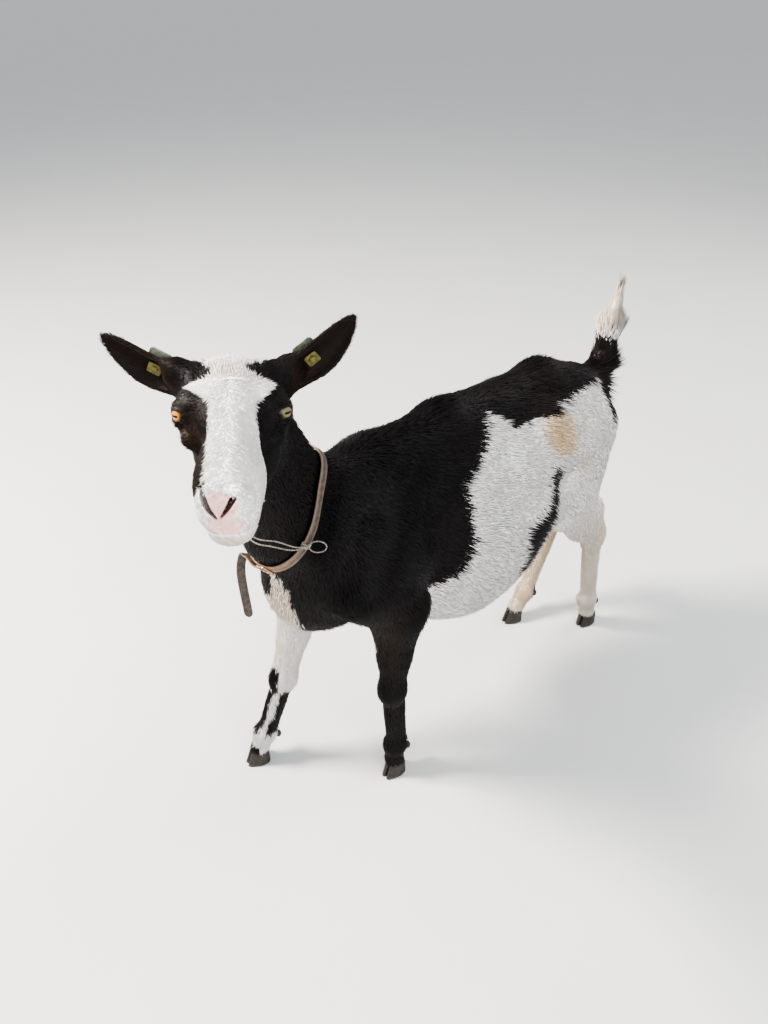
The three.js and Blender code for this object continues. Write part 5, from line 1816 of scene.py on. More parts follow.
    def _mark(self, seeds: Mesh, roots: Roots, random: np.random.Generator) -> None:
        """Stores the markings on the roots. Each tuft has one colour, and the edges are ragged."""
        reach = roots.size[:, 1]
        white = self.markings.whiteness(roots.place) + random.normal(0, 0.12, len(reach)) * reach
        put_value(seeds, "white", (white > 0).astype(float))
        put_value(seeds, "pink", self.markings.pinkness(roots.place) * 0.6)
        put_value(seeds, "stain", bounded(self.markings.stain(roots.place) + random.normal(0, 0.09, len(reach))))
        put_value(seeds, "brown", bounded(self.markings.brown(roots.place) + random.normal(0, 0.1, len(reach))))

    def _unrolled(self, piece: CoatPiece, place: Array) -> Array:
        """Each root's place on the skin when the piece's skin is unrolled around its axis."""
        axis = unit(np.array(piece.axis, float))
        offset = piece.pose.own(place) - np.array(piece.middle)
        reach = offset @ axis
        side = flat_to(np.array([0.31, 0.23, 0.92]), axis)
        angle = np.arctan2(offset @ np.cross(axis, side), offset @ side)
        span = max(float(np.ptp(reach)), 1.0)
        margin = 2 * self.patch
        u = margin + (1 - 2 * margin) * (angle / (2 * np.pi) + 0.5)
        v = margin + (1 - 2 * margin) * (reach - reach.min()) / span
        return np.stack([u, v, np.zeros(len(u))], 1)

    def _bake_map(self, mesh: Mesh) -> None:
        """Writes the map for baking: each tuft is a small patch at its root's unrolled place."""
        unrolled, patch = (numbers_of(mesh.attributes[name].data, "vector") for name in ("unrolled", "patch"))
        place = unrolled + patch * self.patch
        corners = numbers_of(mesh.loops, "vertex_index", np.int32, 1).ravel()
        layer = mesh.uv_layers.new(name="OFBake")
        layer.data.foreach_set("uv", place[corners, :2].astype(np.float32).ravel())
        for name in ("unrolled", "patch", "lie", "size", "kind"):
            if name in mesh.attributes:
                mesh.attributes.remove(mesh.attributes[name])


def coat_pieces() -> list[CoatPiece]:
    """The coat's pieces, in the order in which they take their roots."""
    def head_part(test: Callable[[Array], Array]) -> Callable[[Array], Array]:
        """A test of places in the head's frame, for places near the head."""
        return lambda place: near_head(place) & test(HEAD.own(place))

    def near_head(place: Array) -> Array:
        """Whether places are past the seam between neck and head."""
        own = HEAD.own(place) - np.array(Skin.seam_point)
        return own @ np.array(Skin.seam_normal) > 0

    pieces = []
    for name, side in SIDES.items():
        ear = head_part(lambda own, side=side: (own[:, 0] * side > 60) & (own[:, 1] > 28) & (own[:, 2] > 20))
        axis = tuple(np.array(EAR_TIPS[name]) - np.array(mirrored(EarLeaf.root, side)))
        pieces.append(CoatPiece(f"coat_ear_{name}", "dark_coat", ear, mirrored(EarLeaf.root, side), axis, HEAD))
    muzzle = head_part(lambda own: own[:, 1] < -62)
    pieces.append(CoatPiece("coat_muzzle", "pale_coat", muzzle, (0, 0, -16), (0, 1, 0), HEAD))
    pieces.append(CoatPiece("coat_face", "pale_coat", near_head, (0, 0, 0), (0, 1, 0), HEAD))
    pieces.append(CoatPiece("coat_tail", "dark_coat", lambda p: (p[:, 1] > 338) & (p[:, 2] > 650), (0, 375, 700), (0, 0.1, 1)))
    for limb, joints in (("fore", FORE_JOINTS), ("hind", HIND_JOINTS)):
        for name, side in SIDES.items():
            ends = joints[name]
            top = 385 if limb == "fore" else 330
            front = limb == "fore"
            leg = lambda p, side=side, top=top, front=front: (
                (p[:, 0] * side > 0) & (p[:, 2] < top) & ((p[:, 1] < -60) == front)
            )
            slot = "dark_coat" if (limb, name) == ("fore", "left") else "pale_coat"
            middle = between(ends["fetlock"], ends["knee" if front else "hock"], 0.5)
            pieces.append(CoatPiece(f"coat_{limb}leg_{name}", slot, leg, middle, (0, 0, 1)))
    neck = lambda p: (p[:, 2] > 560) & (p[:, 1] < -290) | (p[:, 2] > 720) & (p[:, 1] < -250)
    pieces.append(CoatPiece("coat_neck", "dark_coat", neck, (40, -410, 700), (0.3, -0.55, 0.8)))
    trunk = (("chest", -400, -175), ("barrel_front", -175, -20), ("barrel_rear", -20, 130), ("rump", 130, 420))
    for part, start, end in trunk:
        for name, side in SIDES.items():
            half = lambda p, side=side, start=start, end=end: (
                (p[:, 0] * side >= 0) & (p[:, 1] >= start - 400 * (start == -400)) & (p[:, 1] < end)
            )
            slot = "dark_coat" if part == "chest" else "pale_coat"
            pieces.append(CoatPiece(f"coat_{part}_{name}", slot, half, (0, 0, 540), (0, 1, 0)))
    return pieces


# ------------------------------------------------------------------ shapes of eyes, claws and worn things


@dataclass
class Shape:
    """A mesh that grows part by part, with numbers stored on its vertices."""

    vertices: list[Array] = field(default_factory=list)
    faces: list[tuple[int, ...]] = field(default_factory=list)
    marks: dict[str, list[Array]] = field(default_factory=dict)

    def add(self, rings: Array, closed: bool = False, **marks) -> Shape:
        """Adds a skin over rings of points.

        Args:
            rings: the rings, each a row of points around the part.
            closed: whether the last ring joins the first. Otherwise both ends are capped.
            marks: one number, or a number for each ring and point, to store under each name.

        Returns:
            This shape.
        """
        count, around = rings.shape[:2]
        first = sum(len(part) for part in self.vertices)
        for ring in range(count if closed else count - 1):
            low, high = first + ring * around, first + (ring + 1) % count * around
            for spoke in range(around):
                after = (spoke + 1) % around
                self.faces.append((low + spoke, low + after, high + after, high + spoke))
        if not closed:
            self.faces.append(tuple(range(first + around - 1, first - 1, -1)))
            self.faces.append(tuple(range(first + (count - 1) * around, first + count * around)))
        self.vertices.append(rings.reshape(-1, 3))
        for name, value in marks.items():
            spread = np.broadcast_to(np.asarray(value, float), (count, around))
            self.marks.setdefault(name, []).append(spread.ravel())
        return self

    def build(self, name: str, place: Placement, finish: Finish, slot: str, *nodes: str) -> None:
        """Puts the shape in the scene instead of the frame's nodes."""
        mesh = mesh_from(name, np.concatenate(self.vertices), self.faces, place)
        for mark, values in self.marks.items():
            put_value(mesh, mark, np.concatenate(values))
        shape = bmesh.new()
        shape.from_mesh(mesh)
        bmesh.ops.recalc_face_normals(shape, faces=shape.faces[:])
        shape.to_mesh(mesh)
        shape.free()
        fitted(shown(name, mesh), finish.material(), slot, *nodes)


def curve_through(places: Iterable, step: float) -> Array:
    """Points about `step` apart along a smooth curve through a few places."""
    knots = np.array(list(places), float)
    ends = np.concatenate([[2 * knots[0] - knots[1]], knots, [2 * knots[-1] - knots[-2]]])
    t = np.linspace(0, 1, 24, endpoint=False)[:, None]
    dense = []
    for a, b, c, d in zip(ends, ends[1:], ends[2:], ends[3:]):
        bend = (2 * a - 5 * b + 4 * c - d) * t**2 + (3 * b - a - 3 * c + d) * t**3
        dense.append(b + 0.5 * ((c - a) * t + bend))
    dense = np.concatenate([*dense, knots[-1:]])
    reach = np.concatenate([[0], np.cumsum(np.linalg.norm(np.diff(dense, axis=0), axis=1))])
    marks = np.linspace(0, reach[-1], max(int(reach[-1] / step), 3))
    return np.stack([np.interp(marks, reach, dense[:, axis]) for axis in range(3)], 1)


def along_path(path: Array, closed: bool = False) -> tuple[Array, Array, Array]:
    """Tangents of a path, and two directions across it that turn as little as they can."""
    ahead, behind = np.roll(path, -1, 0), np.roll(path, 1, 0)
    if not closed:
        ahead[-1], behind[0] = path[-1], path[0]
    tangents = unit(ahead - behind)
    side = np.array([0.36, 0.48, 0.8])
    sides = []
    for tangent in tangents:
        side = flat_to(side, tangent)
        sides.append(side)
    return tangents, np.array(sides), np.cross(tangents, np.array(sides))


def tube(path: Array, radius: float, around: int = 8, closed: bool = False) -> Array:
    """Rings of a round tube along a path."""
    _, side, rise = along_path(path, closed)
    angles = np.linspace(0, 2 * np.pi, around, endpoint=False)[:, None]
    return path[:, None] + radius * (np.cos(angles) * side[:, None] + np.sin(angles) * rise[:, None])


def plies(path: Array, radius: float, pitch: float, closed: bool = False) -> list[Array]:
    """The middle lines of two plies that are twisted around a path."""
    _, side, rise = along_path(path, closed)
    reach = np.concatenate([[0], np.cumsum(np.linalg.norm(np.diff(path, axis=0), axis=1))])
    turns = round(reach[-1] / pitch) * 2 * np.pi * reach / reach[-1]
    swing = np.cos(turns)[:, None] * side + np.sin(turns)[:, None] * rise
    return [path + swing * radius, path - swing * radius]


def ball(centre: Array, axes: Array, radii: Vec, around: int = 24, rings: int = 16) -> Array:
    """Rings of an ellipsoid from the end of its third axis to the other end."""
    polar = (np.arange(rings) + 0.35) / (rings - 0.3) * np.pi
    angles = np.linspace(0, 2 * np.pi, around, endpoint=False)
    sphere = np.stack(
        [
            np.outer(np.sin(polar), np.cos(angles)) * radii[0],
            np.outer(np.sin(polar), np.sin(angles)) * radii[1],
            np.outer(np.cos(polar), np.ones(around)) * radii[2],
        ],
        -1,
    )
    return np.asarray(centre) + sphere @ axes


# ------------------------------------------------------------------ eyes and claws


class EyeFinish(Finish):
    """A wet eyeball with a level slit for a pupil."""

    name = "goat eye"

    def dress(self, tree: Tree, shader: Node) -> None:
        """Draws pupil, iris and rim from the places stored on the eyeball, in millimetres."""
        across, height = tree.attribute("across"), tree.attribute("height")
        reach = tree.length(across, height)
        spin = tree.math("ARCTAN2", height, across)
        ray = tree.node("ShaderNodeCombineXYZ", {"X": tree.math("MULTIPLY", spin, 3.0), "Y": reach})
        fibre = tree.noise(ray.outputs[0], 2.6, 4.0, 0.65)
        # Lit and shaded copies of one iris: the orange one is painted sunlight and the grey-olive one painted shade.
        warm = tree.mix(fibre, rgb(0.3, 0.1, 0.018), rgb(0.72, 0.34, 0.08))
        shaded_iris = tree.mix(fibre, rgb(0.08, 0.072, 0.03), rgb(0.26, 0.24, 0.125))
        iris = tree.mix(tree.attribute("warm"), shaded_iris, warm)
        iris = tree.mix(tree.ranged(reach, 5.2, 8.2), iris, rgb(0.03, 0.017, 0.01))
        white = tree.mix(fibre, rgb(0.014, 0.009, 0.008), rgb(0.03, 0.02, 0.016))
        colour = tree.mix(tree.ranged(reach, 7.8, 8.6), iris, white)
        past = tree.math("MAXIMUM", tree.math("SUBTRACT", tree.math("ABSOLUTE", across), 3.5), 0.0)
        colour = tree.mix(tree.ranged(tree.length(past, height), 1.2, 1.6, 1.0, 0.0), colour, rgb(0.002, 0.002, 0.003))
        tree.give(shader, Base_Color=colour, Roughness=0.42, Specular_IOR_Level=0.25)
        tree.give(shader, Coat_Weight=0.25, Coat_Roughness=0.05)


class ClawFinish(Finish):
    """Dark horn with growth rings."""

    name = "goat claw"

    def dress(self, tree: Tree, shader: Node) -> None:
        """Rings run around the claw, and its lower edge is worn paler."""
        place = tree.object_place()
        rings = tree.node("ShaderNodeMapping", {"Vector": place, "Scale": (0.06, 0.06, 1.0)})
        ridge = tree.noise(rings.outputs[0], 420.0, 2.0)
        mask, relief = Grain().over(tree, place, 160.0, 0.5)
        worn = tree.ranged(tree.attribute("height"), 0.0, 8.0, 0.55, 0.0)
        colour = tree.mix(mask, rgb(0.012, 0.01, 0.009), rgb(0.04, 0.032, 0.026))
        colour = tree.mix(tree.math("MULTIPLY", worn, mask), colour, rgb(0.16, 0.13, 0.1))
        normal = tree.bump(tree.math("ADD", ridge, relief), 0.5, 0.0008)
        tree.give(shader, Base_Color=colour, Roughness=0.42, Normal=normal)


@dataclass(frozen=True)
class Claw:
    """One toe's claw: a flat sole, a sloping front and a straight inner wall."""

    length: float = 50.0
    width: float = 20.0
    height: float = 34.6
    lean: float = 0.34
    taper: float = 0.1
    apart: float = 1.2
    toe_out: float = 7.0

    def outline(self) -> Array:
        """The sole's outline, with the outer wall towards +X."""
        wide, long = self.width, self.length
        toe, heel = (0, -0.44 * long), (0, 0.36 * long)
        outer, rear = (0.62 * wide, -0.36 * long), (0.92 * wide, 0.28 * long)
        bends = [
            (toe, (0.28 * wide, -0.66 * long), outer),
            (outer, (1.12 * wide, 0), rear),
            (rear, (0.5 * wide, 0.46 * long), heel),
            (heel, (0.0, 0), toe),
        ]
        t = np.linspace(0, 1, 8, endpoint=False)[:, None]
        parts = [(1 - t) ** 2 * np.array(a) + 2 * t * (1 - t) * np.array(b) + t**2 * np.array(c) for a, b, c in bends]
        return np.concatenate(parts)

    def rings(self, toe: Vec, side: int, face: int) -> tuple[Array, Array]:
        """The claw's rings from sole to coronet, and the height of each.

        Args:
            toe: the middle of the foot.
            side: the leg's side of the body.
            face: 1 for the claw towards the goat's left, -1 for the other.
        """
        heights = np.array([0, 0.5, 1.6, 6, 12, 18, 24, 30, self.height - 1, self.height])
        insets = np.array([1.4, 0.5, 0, 0, 0.1, 0.1, 0.1, 0.1, 0.7, 2.0])
        outline = self.outline()
        middle = outline.mean(0)
        rings = []
        for height, inset in zip(heights, insets):
            flat = middle + (outline - middle) * (1 - inset / 10)
            front = bounded(-flat[:, 1] / (self.length / 2))
            x = (flat[:, 0] * (1 - self.taper * height / self.height) + self.apart / 2) * face
            y = flat[:, 1] + self.lean * height * front
            rings.append(np.stack([x, y, np.full(len(x), height)], 1))
        turn = Pose(plus(toe, (0, HEEL_TO_TOE, 0)), side * self.toe_out)
        return turn.goat(np.array(rings)), heights[:, None]


@dataclass(frozen=True)
class Dewclaw:
    """A small claw behind the fetlock."""

    radii: Vec = (5.6, 5.4, 9.0)
    apart: float = 12.0
    behind: float = 22.0
    below: float = 10.0

    def rings(self, fetlock: Vec, face: int) -> Array:
        """The dewclaw's rings."""
        centre = plus(fetlock, (face * self.apart, self.behind, -self.below))
        return ball(np.array(centre), np.eye(3), self.radii, 14, 10)


def build_eyes(place: Placement) -> None:
    """Both eyeballs. The goat's right one is more orange and brighter, as painted sunlight, and its left one greyer
    and darker, as painted shade.
    """
    for name, side in SIDES.items():
        axes = EYE.axes(side)
        radius = EYE.radius - 0.1
        rings = ball(EYE.centre(side), axes, (radius, radius, radius), 40, 36)
        nose, up, out = np.moveaxis((rings - EYE.centre(side)) @ axes.T, -1, 0)
        bulge = 0.7 * bounded(1 - (nose**2 + up**2) / 70) * (out > 0)
        rings = rings + bulge[..., None] * axes[2]
        turned = up - 0.2 * nose
        eye = Shape().add(rings, across=nose, height=turned, warm=float(side < 0))
        eye.build(f"eyeball_{name}", place, EyeFinish(), "iris", f"eye_{name}")


def build_claws(place: Placement) -> None:
    """Two claws and two dewclaws on each foot."""
    for limb, joints in (("fore", FORE_JOINTS), ("hind", HIND_JOINTS)):
        for name, side in SIDES.items():
            for where, face in (("outer", side), ("inner", -side)):
                rings, height = Claw().rings(joints[name]["toe"], side, face)
                node = f"{limb}_claw_{name}_{where}"
                claw = Shape().add(rings, height=height)
                claw.build(f"{node}_horn", place, ClawFinish(), "claw", node)
                node = f"{limb}_dewclaw_{name}_{where}"
                dewclaw = Shape().add(Dewclaw().rings(joints[name]["fetlock"], face), height=20.0)
                dewclaw.build(f"{node}_horn", place, ClawFinish(), "claw", node)


# ------------------------------------------------------------------ ear tags


class TagFinish(Finish):
    """Scratched plastic: a pale plate behind the ear, and a dark yellow one in its hollow whose darkness is painted
    shade.
    """

    name = "ear tag"

    def dress(self, tree: Tree, shader: Node) -> None:
        """Dirt lies on both plates."""
        mask, relief = Grain().over(tree, tree.object_place(), 190.0, 0.9)
        # Painted shade: the plate in the ear's hollow is a darker copy of the same plastic.
        front = tree.mix(mask, rgb(0.07, 0.06, 0.016), rgb(0.17, 0.15, 0.03))
        rear = tree.mix(mask, rgb(0.2, 0.23, 0.17), rgb(0.36, 0.4, 0.31))
        colour = tree.mix(tree.attribute("front"), rear, front)
        normal = tree.bump(relief, 0.25, 0.0004)
        tree.give(shader, Base_Color=colour, Roughness=0.5, Normal=normal)


@dataclass(frozen=True)
class EarTag:
    """Two plates joined by a pin through the ear."""

    width: float = 26.0
    height: float = 29.0
    thickness: float = 1.6
    corner: float = 5.0
    along: float = 0.4
    pin: float = 2.5
    lift: float = 5.5
    shift: float = 8.0
    front_share: float = 0.6

    def build(self, name: str, side: int, ear: EarLeaf, place: Placement) -> None:
        """Makes the tag of one ear."""
        along, front, up = (HEAD.turned(axis) for axis in ear.axes())
        basis = np.array([-side * up, along, front])
        middle = ear.point(self.along, 0.0)
        shape = Shape()
        shape.add(self._plate(middle, basis, 1.0, -side * self.shift, -self.lift), front=0.0)
        shape.add(self._plate(middle, basis, self.front_share, 0.0, self.lift), front=1.0)
        path = middle + np.linspace(-self.lift - 1.0, self.lift + 1.8, 6)[:, None] * front
        shape.add(tube(path, self.pin, 16), front=1.0)
        shape.add(ball(path[-1], basis, (4.4, 4.4, 1.3), 20, 8), front=1.0)
        shape.build(f"tag_{name}", place, TagFinish(), "tag", f"ear_tag_{name}")

    def _plate(self, middle: Array, basis: Array, share: float, shift: float, lift: float) -> Array:
        """Rings of one plate with round corners and edges."""
        half = np.array([self.width, self.height]) * share / 2 - self.corner * share
        angles = np.linspace(0, 2 * np.pi, 28, endpoint=False)
        corners = np.sign(np.stack([np.cos(angles + 1e-6), np.sin(angles + 1e-6)], 1)) * half
        rings = []
        for inset, level in ((1.0, -0.5), (0.35, -0.45), (0, -0.2), (0, 0.2), (0.35, 0.45), (1.0, 0.5)):
            round_off = (self.corner * share - inset) * np.stack([np.cos(angles), np.sin(angles)], 1)
            flat = corners + round_off + [shift, 0]
            rings.append(np.column_stack([flat, np.full(len(flat), lift + level * self.thickness)]))
        return middle + np.array(rings) @ basis


# ------------------------------------------------------------------ collar, buckle, strap end and twine


class LeatherFinish(Finish):
    """Worn leather: grey-brown with painted shade over most of the strap, and a lighter orange-brown with painted
    sunlight near the buckle.
    """

    name = "worn leather"

    def dress(self, tree: Tree, shader: Node) -> None:
        """Cracks and rubbed edges over two browns, a shaded one and a sunlit one, both painted light."""
        place = tree.object_place()
        mask, relief = Grain().over(tree, place, 150.0, 0.8)
        shaded_leather = tree.mix(mask, rgb(0.033, 0.026, 0.021), rgb(0.09, 0.07, 0.057))
        tan = tree.mix(mask, rgb(0.11, 0.052, 0.026), rgb(0.3, 0.165, 0.085))
        colour = tree.mix(tree.attribute("tan"), shaded_leather, tan)
        rubbed = tree.math("MULTIPLY", tree.attribute("edge"), 0.35)
        colour = tree.mix(rubbed, colour, rgb(0.34, 0.25, 0.18))
        creases = tree.noise(place, 620.0, 3.0)
        height = tree.math("ADD", relief, tree.math("MULTIPLY", creases, 0.5))
        normal = tree.bump(height, 0.6, 0.0006)
        tree.give(shader, Base_Color=colour, Roughness=0.56, Normal=normal)


class BuckleFinish(Finish):
    """Coppery metal with rust in its hollows."""

    name = "rusty buckle"

    def dress(self, tree: Tree, shader: Node) -> None:
        """Bright metal shows between patches of rust."""
        rust, relief = Grain().over(tree, tree.object_place(), 260.0, 0.9)
        colour = tree.mix(rust, rgb(0.72, 0.52, 0.38), rgb(0.16, 0.06, 0.025))
        rough = tree.ranged(rust, 0.3, 0.8, 0.22, 0.75)
        metal = tree.ranged(rust, 0.4, 0.9, 1.0, 0.1)
        normal = tree.bump(relief, 0.3, 0.0004)
        tree.give(shader, Base_Color=colour, Roughness=rough, Metallic=metal, Normal=normal)


class TwineFinish(Finish):
    """Grey, weathered twine."""

    name = "grey twine"

    def dress(self, tree: Tree, shader: Node) -> None:
        """Fibres run unevenly along it."""
        mask, relief = Grain().over(tree, tree.object_place(), 420.0, 0.7)
        colour = tree.mix(mask, rgb(0.13, 0.112, 0.095), rgb(0.36, 0.325, 0.28))
        normal = tree.bump(relief, 0.6, 0.0005)
        tree.give(shader, Base_Color=colour, Roughness=0.85, Normal=normal)


@dataclass
class Collar:
    """The strap around the neck and everything that hangs on it.

    Angles go around the neck in degrees: 0 is the goat's left, 90 its crest and -90 its throat.
    """

    flesh: GoatFlesh
    place: Placement
    centre: Vec = (14.0, -379.0, 650.0)
    normal: Vec = (0.0, -0.815, 0.58)
    drape: float = 4.0
    width: float = 16.0
    thickness: float = 3.2
    sunk: float = 1.6
    buckle_at: float = -80.0
    buckle_size: tuple[float, float] = (22.0, 25.0)
    wire: float = 1.9
    end_path: tuple[tuple[float, float], ...] = ((-92, 0), (-102, 1), (-109, 6), (-113, 13))
    end_width: float = 14.0
    end_fall: float = 127.0
    twine_radius: float = 1.2
    twine_ends: tuple[float, float] = (-20.0, -150.0)
    twine_loop: float = 12.6
    strands: tuple[tuple[tuple[float, float], ...], ...] = (
        ((-18, 30), (-18, 62), (-27, 92), (-62, 110), (-104, 112), (-138, 84), (-149, 42)),
        ((-22, 30), (-27, 60), (-37, 81), (-68, 98), (-106, 100), (-132, 76), (-144, 40)),
    )

    def on_coat(self, degrees: Array, shift: Array | float) -> tuple[Array, Array]:
        """Where the coat's tips are around the neck.

        Args:
            degrees: angles around the neck.
            shift: millimetres from the collar's middle towards the head.

        Returns:
            The places, and the directions away from the neck there.
        """
        normal = unit(np.array(self.normal))
        across = flat_to(np.array([1.0, 0.0, 0.0]), normal)
        angle = np.radians(np.asarray(degrees, float))[:, None]
        out = np.cos(angle) * across + np.sin(angle) * np.cross(normal, across)
        away = np.broadcast_to(np.asarray(shift, float), len(angle))[:, None] - self.drape * np.cos(angle) ** 2
        start = np.array(self.centre) + normal * away
        travelled = np.zeros(len(out))
        for _ in range(40):
            here = start + out * travelled[:, None]
            depth = -self.flesh.distance(here, coat=True, groups=("trunk", "shoulder", "neck"))
            travelled = np.clip(travelled + 0.8 * depth, 0, 220)
        return start + out * travelled[:, None], out

    def basis_at(self, degrees: float) -> tuple[Array, Array]:
        """A place on the coat under the strap, and rows along the strap, across it and away from the neck."""
        points, _ = self.on_coat([degrees, degrees - 8, degrees + 8, degrees, degrees], [0, 0, 0, -8, 8])
        along = unit(points[2] - points[1])
        out = unit(np.cross(along, points[4] - points[3]))
        return points[0], np.array([along, np.cross(out, along), out])

    def build(self) -> None:
        """Makes strap, buckle, strap end and twine."""
        self._strap()
        self._buckle()
        self._strap_end()
        self._twine()

    def _strap(self) -> None:
        """The strap, which presses into the coat."""
        degrees = np.linspace(0, 360, 144, endpoint=False)
        half = self.width / 2
        rows = np.array([self.on_coat(degrees, shift)[0] for shift in (-half, 0.0, half)])
        out = self.on_coat(degrees, 0.0)[1]
        section = ((-1, 0.2), (-0.9, 0), (0, 0), (0.9, 0), (1, 0.2), (1, 0.8), (0.9, 1), (0, 1.05), (-0.9, 1), (-1, 0.8))
        corners = []
        for edge, level in section:
            outer = rows[2] if edge > 0 else rows[0]
            flat = rows[1] + (outer - rows[1]) * abs(edge)
            corners.append(flat + out * (level * self.thickness - self.sunk))
        rings = np.stack(corners, 1)
        # Painted sunlight: the strap is lighter near the buckle.
        tan = np.exp(-(((degrees - 275) / 34) ** 2))[:, None]
        edge = [float(abs(e) > 0.85) for e, _ in section]
        strap = Shape().add(rings, closed=True, tan=tan, edge=np.array(edge)[None])
        strap.build("leather_strap", self.place, LeatherFinish(), "strap", "collar_strap")

    def _buckle(self) -> None:
        """A square ring of round wire and the prong that crosses it."""
        middle, basis = self.basis_at(self.buckle_at)
        half = np.array(self.buckle_size) / 2 - self.wire
        angles = np.linspace(0, 2 * np.pi, 64, endpoint=False)
        square = np.stack([np.cos(angles), np.sin(angles)], 1)
        square /= (np.abs(square) ** 6).sum(1, keepdims=True) ** (1 / 6)
        lift = self.thickness - self.sunk + 1.0
        ring = middle + np.column_stack([square * half, np.full(64, lift)]) @ basis
        bar = np.array([[-half[0] - 1, 0, lift + 0.8], [0, 0, lift + 2.2], [half[0] + 1.5, 0, lift + 1.2]])
        shape = Shape().add(tube(ring, self.wire, 12, True), closed=True)
        shape.add(tube(curve_through(middle + bar @ basis, 1.5), self.wire * 0.62, 10))
        shape.build("buckle_ring", self.place, BuckleFinish(), "buckle", "collar_buckle")

    def _strap_end(self) -> None:
        """The free end of the strap, which leaves the buckle towards the goat's right and hangs down."""
        degrees, lifts = np.array(self.end_path, float).T
        points, out = self.on_coat(degrees, 0.0)
        start, basis = self.basis_at(self.buckle_at + 6)
        points = points + out * (self.thickness * 2 - self.sunk + lifts)[:, None]
        bend = points[-1]
        low = bend + np.array([-1.0, -3.0, -self.end_fall])
        knee = bend + (low - bend) * 0.3 + np.array([-3.0, -5.0, 0.0])
        path = curve_through([start + basis[2] * (self.thickness + 0.4), *points, knee, low], 2.5)
        part = np.linspace(0, 1, len(path))[:, None]
        wide = unit(np.array(self.normal)) * (1 - part) + np.array([-0.63, -0.78, 0.0]) * part
        tangents, _, _ = along_path(path)
        across = flat_to(wide, tangents)
        rise = np.cross(tangents, across)
        left = np.linalg.norm(path - path[-1], axis=1)
        tip = np.sqrt(np.clip(1 - (1 - bounded(left / 8)) ** 2, 0.02, 1))[:, None]
        half, thin = self.end_width / 2 * tip, 1.3
        section = ((-1, -0.6), (-0.85, -1), (0.85, -1), (1, -0.6), (1, 0.6), (0.85, 1), (-0.85, 1), (-1, 0.6))
        rings = np.stack([path + across * half * e + rise * thin * f for e, f in section], 1)
        edge = [float(abs(e) > 0.9) for e, _ in section]
        # Painted sunlight: the strap's end is lighter where it leaves the buckle.
        tan = bounded(0.55 - part * 1.4)
        strip = Shape().add(rings, tan=tan, edge=np.array(edge)[None])
        strip.build("leather_end", self.place, LeatherFinish(), "strap", "collar_strap_end")

    def _twine(self) -> None:
        """Two strands across the throat, a wrapped knot at each end and a loop at the left one."""
        shape = Shape()
        lift = self.thickness - self.sunk + self.twine_radius
        ends = [self.basis_at(degrees) for degrees in self.twine_ends]
        starts = [place + basis[2] * (lift + 1.5) for place, basis in ends]
        for strand in self.strands:
            degrees, shifts = np.array(strand, float).T
            points, out = self.on_coat(degrees, shifts)
            self._laid(shape, curve_through([starts[0], *(points + out * 13.0), starts[1]], 1.6))
        for place, basis in ends:
            self._knot(shape, place + basis[2] * (lift - 1.2), basis)
        facing = unit(np.array([0.8, -0.6, -0.1]))
        side = flat_to(np.array([0.6, 0.8, 0.0]), facing)
        angles = np.linspace(0, 2 * np.pi, 52, endpoint=False)[:, None]
        centre = starts[0] + side * (self.twine_loop + 2.0)
        ring = centre + self.twine_loop * (np.cos(angles) * side + np.sin(angles) * 0.86 * np.cross(facing, side))
        self._laid(shape, ring, closed=True)
        shape.build("knotted_twine", self.place, TwineFinish(), "twine", "twine")

    def _laid(self, shape: Shape, path: Array, closed: bool = False) -> None:
        """Adds twine of two plies along a path."""
        for ply in plies(path, self.twine_radius * 0.5, 9.0, closed):
            shape.add(tube(ply, self.twine_radius * 0.58, 6, closed), closed=closed)

    def _knot(self, shape: Shape, place: Array, basis: Array) -> None:
        """Adds three turns of twine around the strap and a small hitch on top of them."""
        turns = np.linspace(0, 6 * np.pi, 90)[:, None]
        along, across, out = basis
        drift = (turns / (6 * np.pi) - 0.5) * 7.5
        wrap = place - out * 1.6 + along * drift + across * 9.3 * np.cos(turns) + out * 3.2 * np.sin(turns)
        shape.add(tube(wrap, self.twine_radius * 0.95, 8))
        hitch = np.linspace(0, 2 * np.pi, 40, endpoint=False)[:, None]
        trefoil = along * (np.sin(hitch) + 2 * np.sin(2 * hitch)) + across * (np.cos(hitch) - 2 * np.cos(2 * hitch))
        knot = place + out * (2.6 - np.sin(3 * hitch) * 1.0) + trefoil * 1.15
        shape.add(tube(knot, self.twine_radius, 8, True), closed=True)


def build_tags(flesh: GoatFlesh, place: Placement) -> None:
    """A tag in each ear."""
    ears = [muscle for muscle in flesh.muscles if isinstance(muscle, EarLeaf)]
    for (name, side), ear in zip(SIDES.items(), ears):
        EarTag().build(name, side, ear, place)


# ------------------------------------------------------------------ the stage


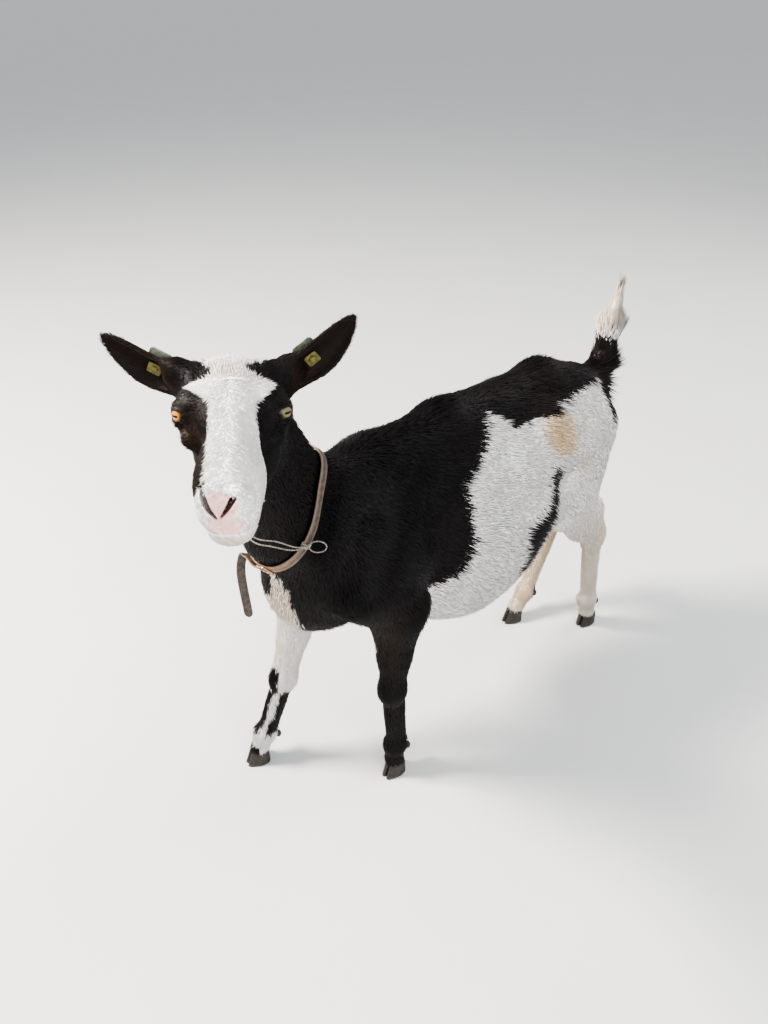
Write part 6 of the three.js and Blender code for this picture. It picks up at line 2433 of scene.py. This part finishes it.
@dataclass
class Studio:
    """The floor, the light and the camera."""

    place: Placement
    camera_at: Vec = (831.5, -853.0, 1300.0)
    camera_pitch: float = 35.0
    camera_yaw: float = 51.08
    lens_pixels: float = 770.0
    picture_height: float = 1024.0
    sensor: float = 36.0

    def build(self) -> None:
        """Sets the stage."""
        self._camera()
        self._floor()
        self._lights()

    def _camera(self) -> None:
        """The camera looks down at the goat's left front."""
        data = bpy.data.cameras.new("camera")
        data.sensor_width = self.sensor
        data.lens = self.lens_pixels / self.picture_height * self.sensor
        data.clip_end = 500
        camera = bpy.data.objects.new("camera", data)
        camera.location = self.place.metres(self.camera_at)
        camera.rotation_euler = (math.radians(90 - self.camera_pitch), 0, math.radians(self.camera_yaw))
        bpy.context.scene.collection.objects.link(camera)
        bpy.context.scene.camera = camera

    def _floor(self) -> None:
        """A pale matt floor."""
        half = 60.0
        mesh = bpy.data.meshes.new("floor")
        mesh.from_pydata([(-half, -half, 0), (half, -half, 0), (half, half, 0), (-half, half, 0)], [], [(0, 1, 2, 3)])
        floor = shown("floor", mesh)
        floor.data.materials.append(FloorFinish().material())
        floor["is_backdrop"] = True

    def _lights(self) -> None:
        """A broad key from the picture's left, a weaker fill from its right and an even sky."""
        self._panel("key", (-1.9, -2.3, 3.3), 1.1, 270.0, (1.0, 0.95, 0.87))
        self._panel("fill", (3.2, -1.2, 1.9), 2.6, 70.0, (0.97, 0.98, 1.0))
        self._panel("back", (0.6, 3.0, 2.8), 2.4, 50.0, (1.0, 1.0, 1.0))
        world = bpy.data.worlds.new("studio")
        world.use_nodes = True
        shade = world.node_tree.nodes["Background"]
        shade.inputs["Color"].default_value = rgb(0.9, 0.92, 0.96)
        shade.inputs["Strength"].default_value = 0.5
        bpy.context.scene.world = world
        view = bpy.context.scene.view_settings
        view.view_transform = "AgX"
        view.look = "AgX - High Contrast"
        view.exposure = 0.45

    @staticmethod
    def _panel(name: str, at: Vec, size: float, power: float, colour: Vec) -> None:
        """One soft square light that faces the goat's middle."""
        data = bpy.data.lights.new(name, "AREA")
        data.size, data.energy, data.color = size, power, colour
        light = bpy.data.objects.new(name, data)
        light.location = at
        light.rotation_euler = (Vector((0, 0, 0.5)) - Vector(at)).to_track_quat("-Z", "Y").to_euler()
        bpy.context.scene.collection.objects.link(light)


class FloorFinish(Finish):
    """Pale, matt studio floor."""

    name = "studio floor"

    def dress(self, tree: Tree, shader: Node) -> None:
        """An almost even pale grey."""
        shade = tree.noise(tree.object_place(), 3.0)
        colour = tree.mix(shade, rgb(0.6, 0.6, 0.59), rgb(0.64, 0.64, 0.63))
        tree.give(shader, Base_Color=colour, Roughness=0.8)


# ------------------------------------------------------------------ everything in order


def main() -> None:
    """Loads the frame and builds the goat around it."""
    logging.basicConfig(level=logging.INFO, format="%(relativeCreated)6d ms %(message)s")
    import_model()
    packed_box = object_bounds()
    place = Placement.from_frame()
    LOG.info("shift %s", np.round(place.shift, 4))
    Studio(place).build()
    flesh = GoatFlesh()
    markings = Markings()
    skin = Skin(flesh, place).build(SkinFinish().material(), markings)
    build_eyes(place)
    build_claws(place)
    build_tags(flesh, place)
    Collar(flesh, place).build()
    Coat(flesh, place, markings, skin).build(HairFinish().material(), coat_pieces())
    boxes = [[list(corner) for corner in box] for box in (packed_box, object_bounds())]


if __name__ == "__main__":
    main()
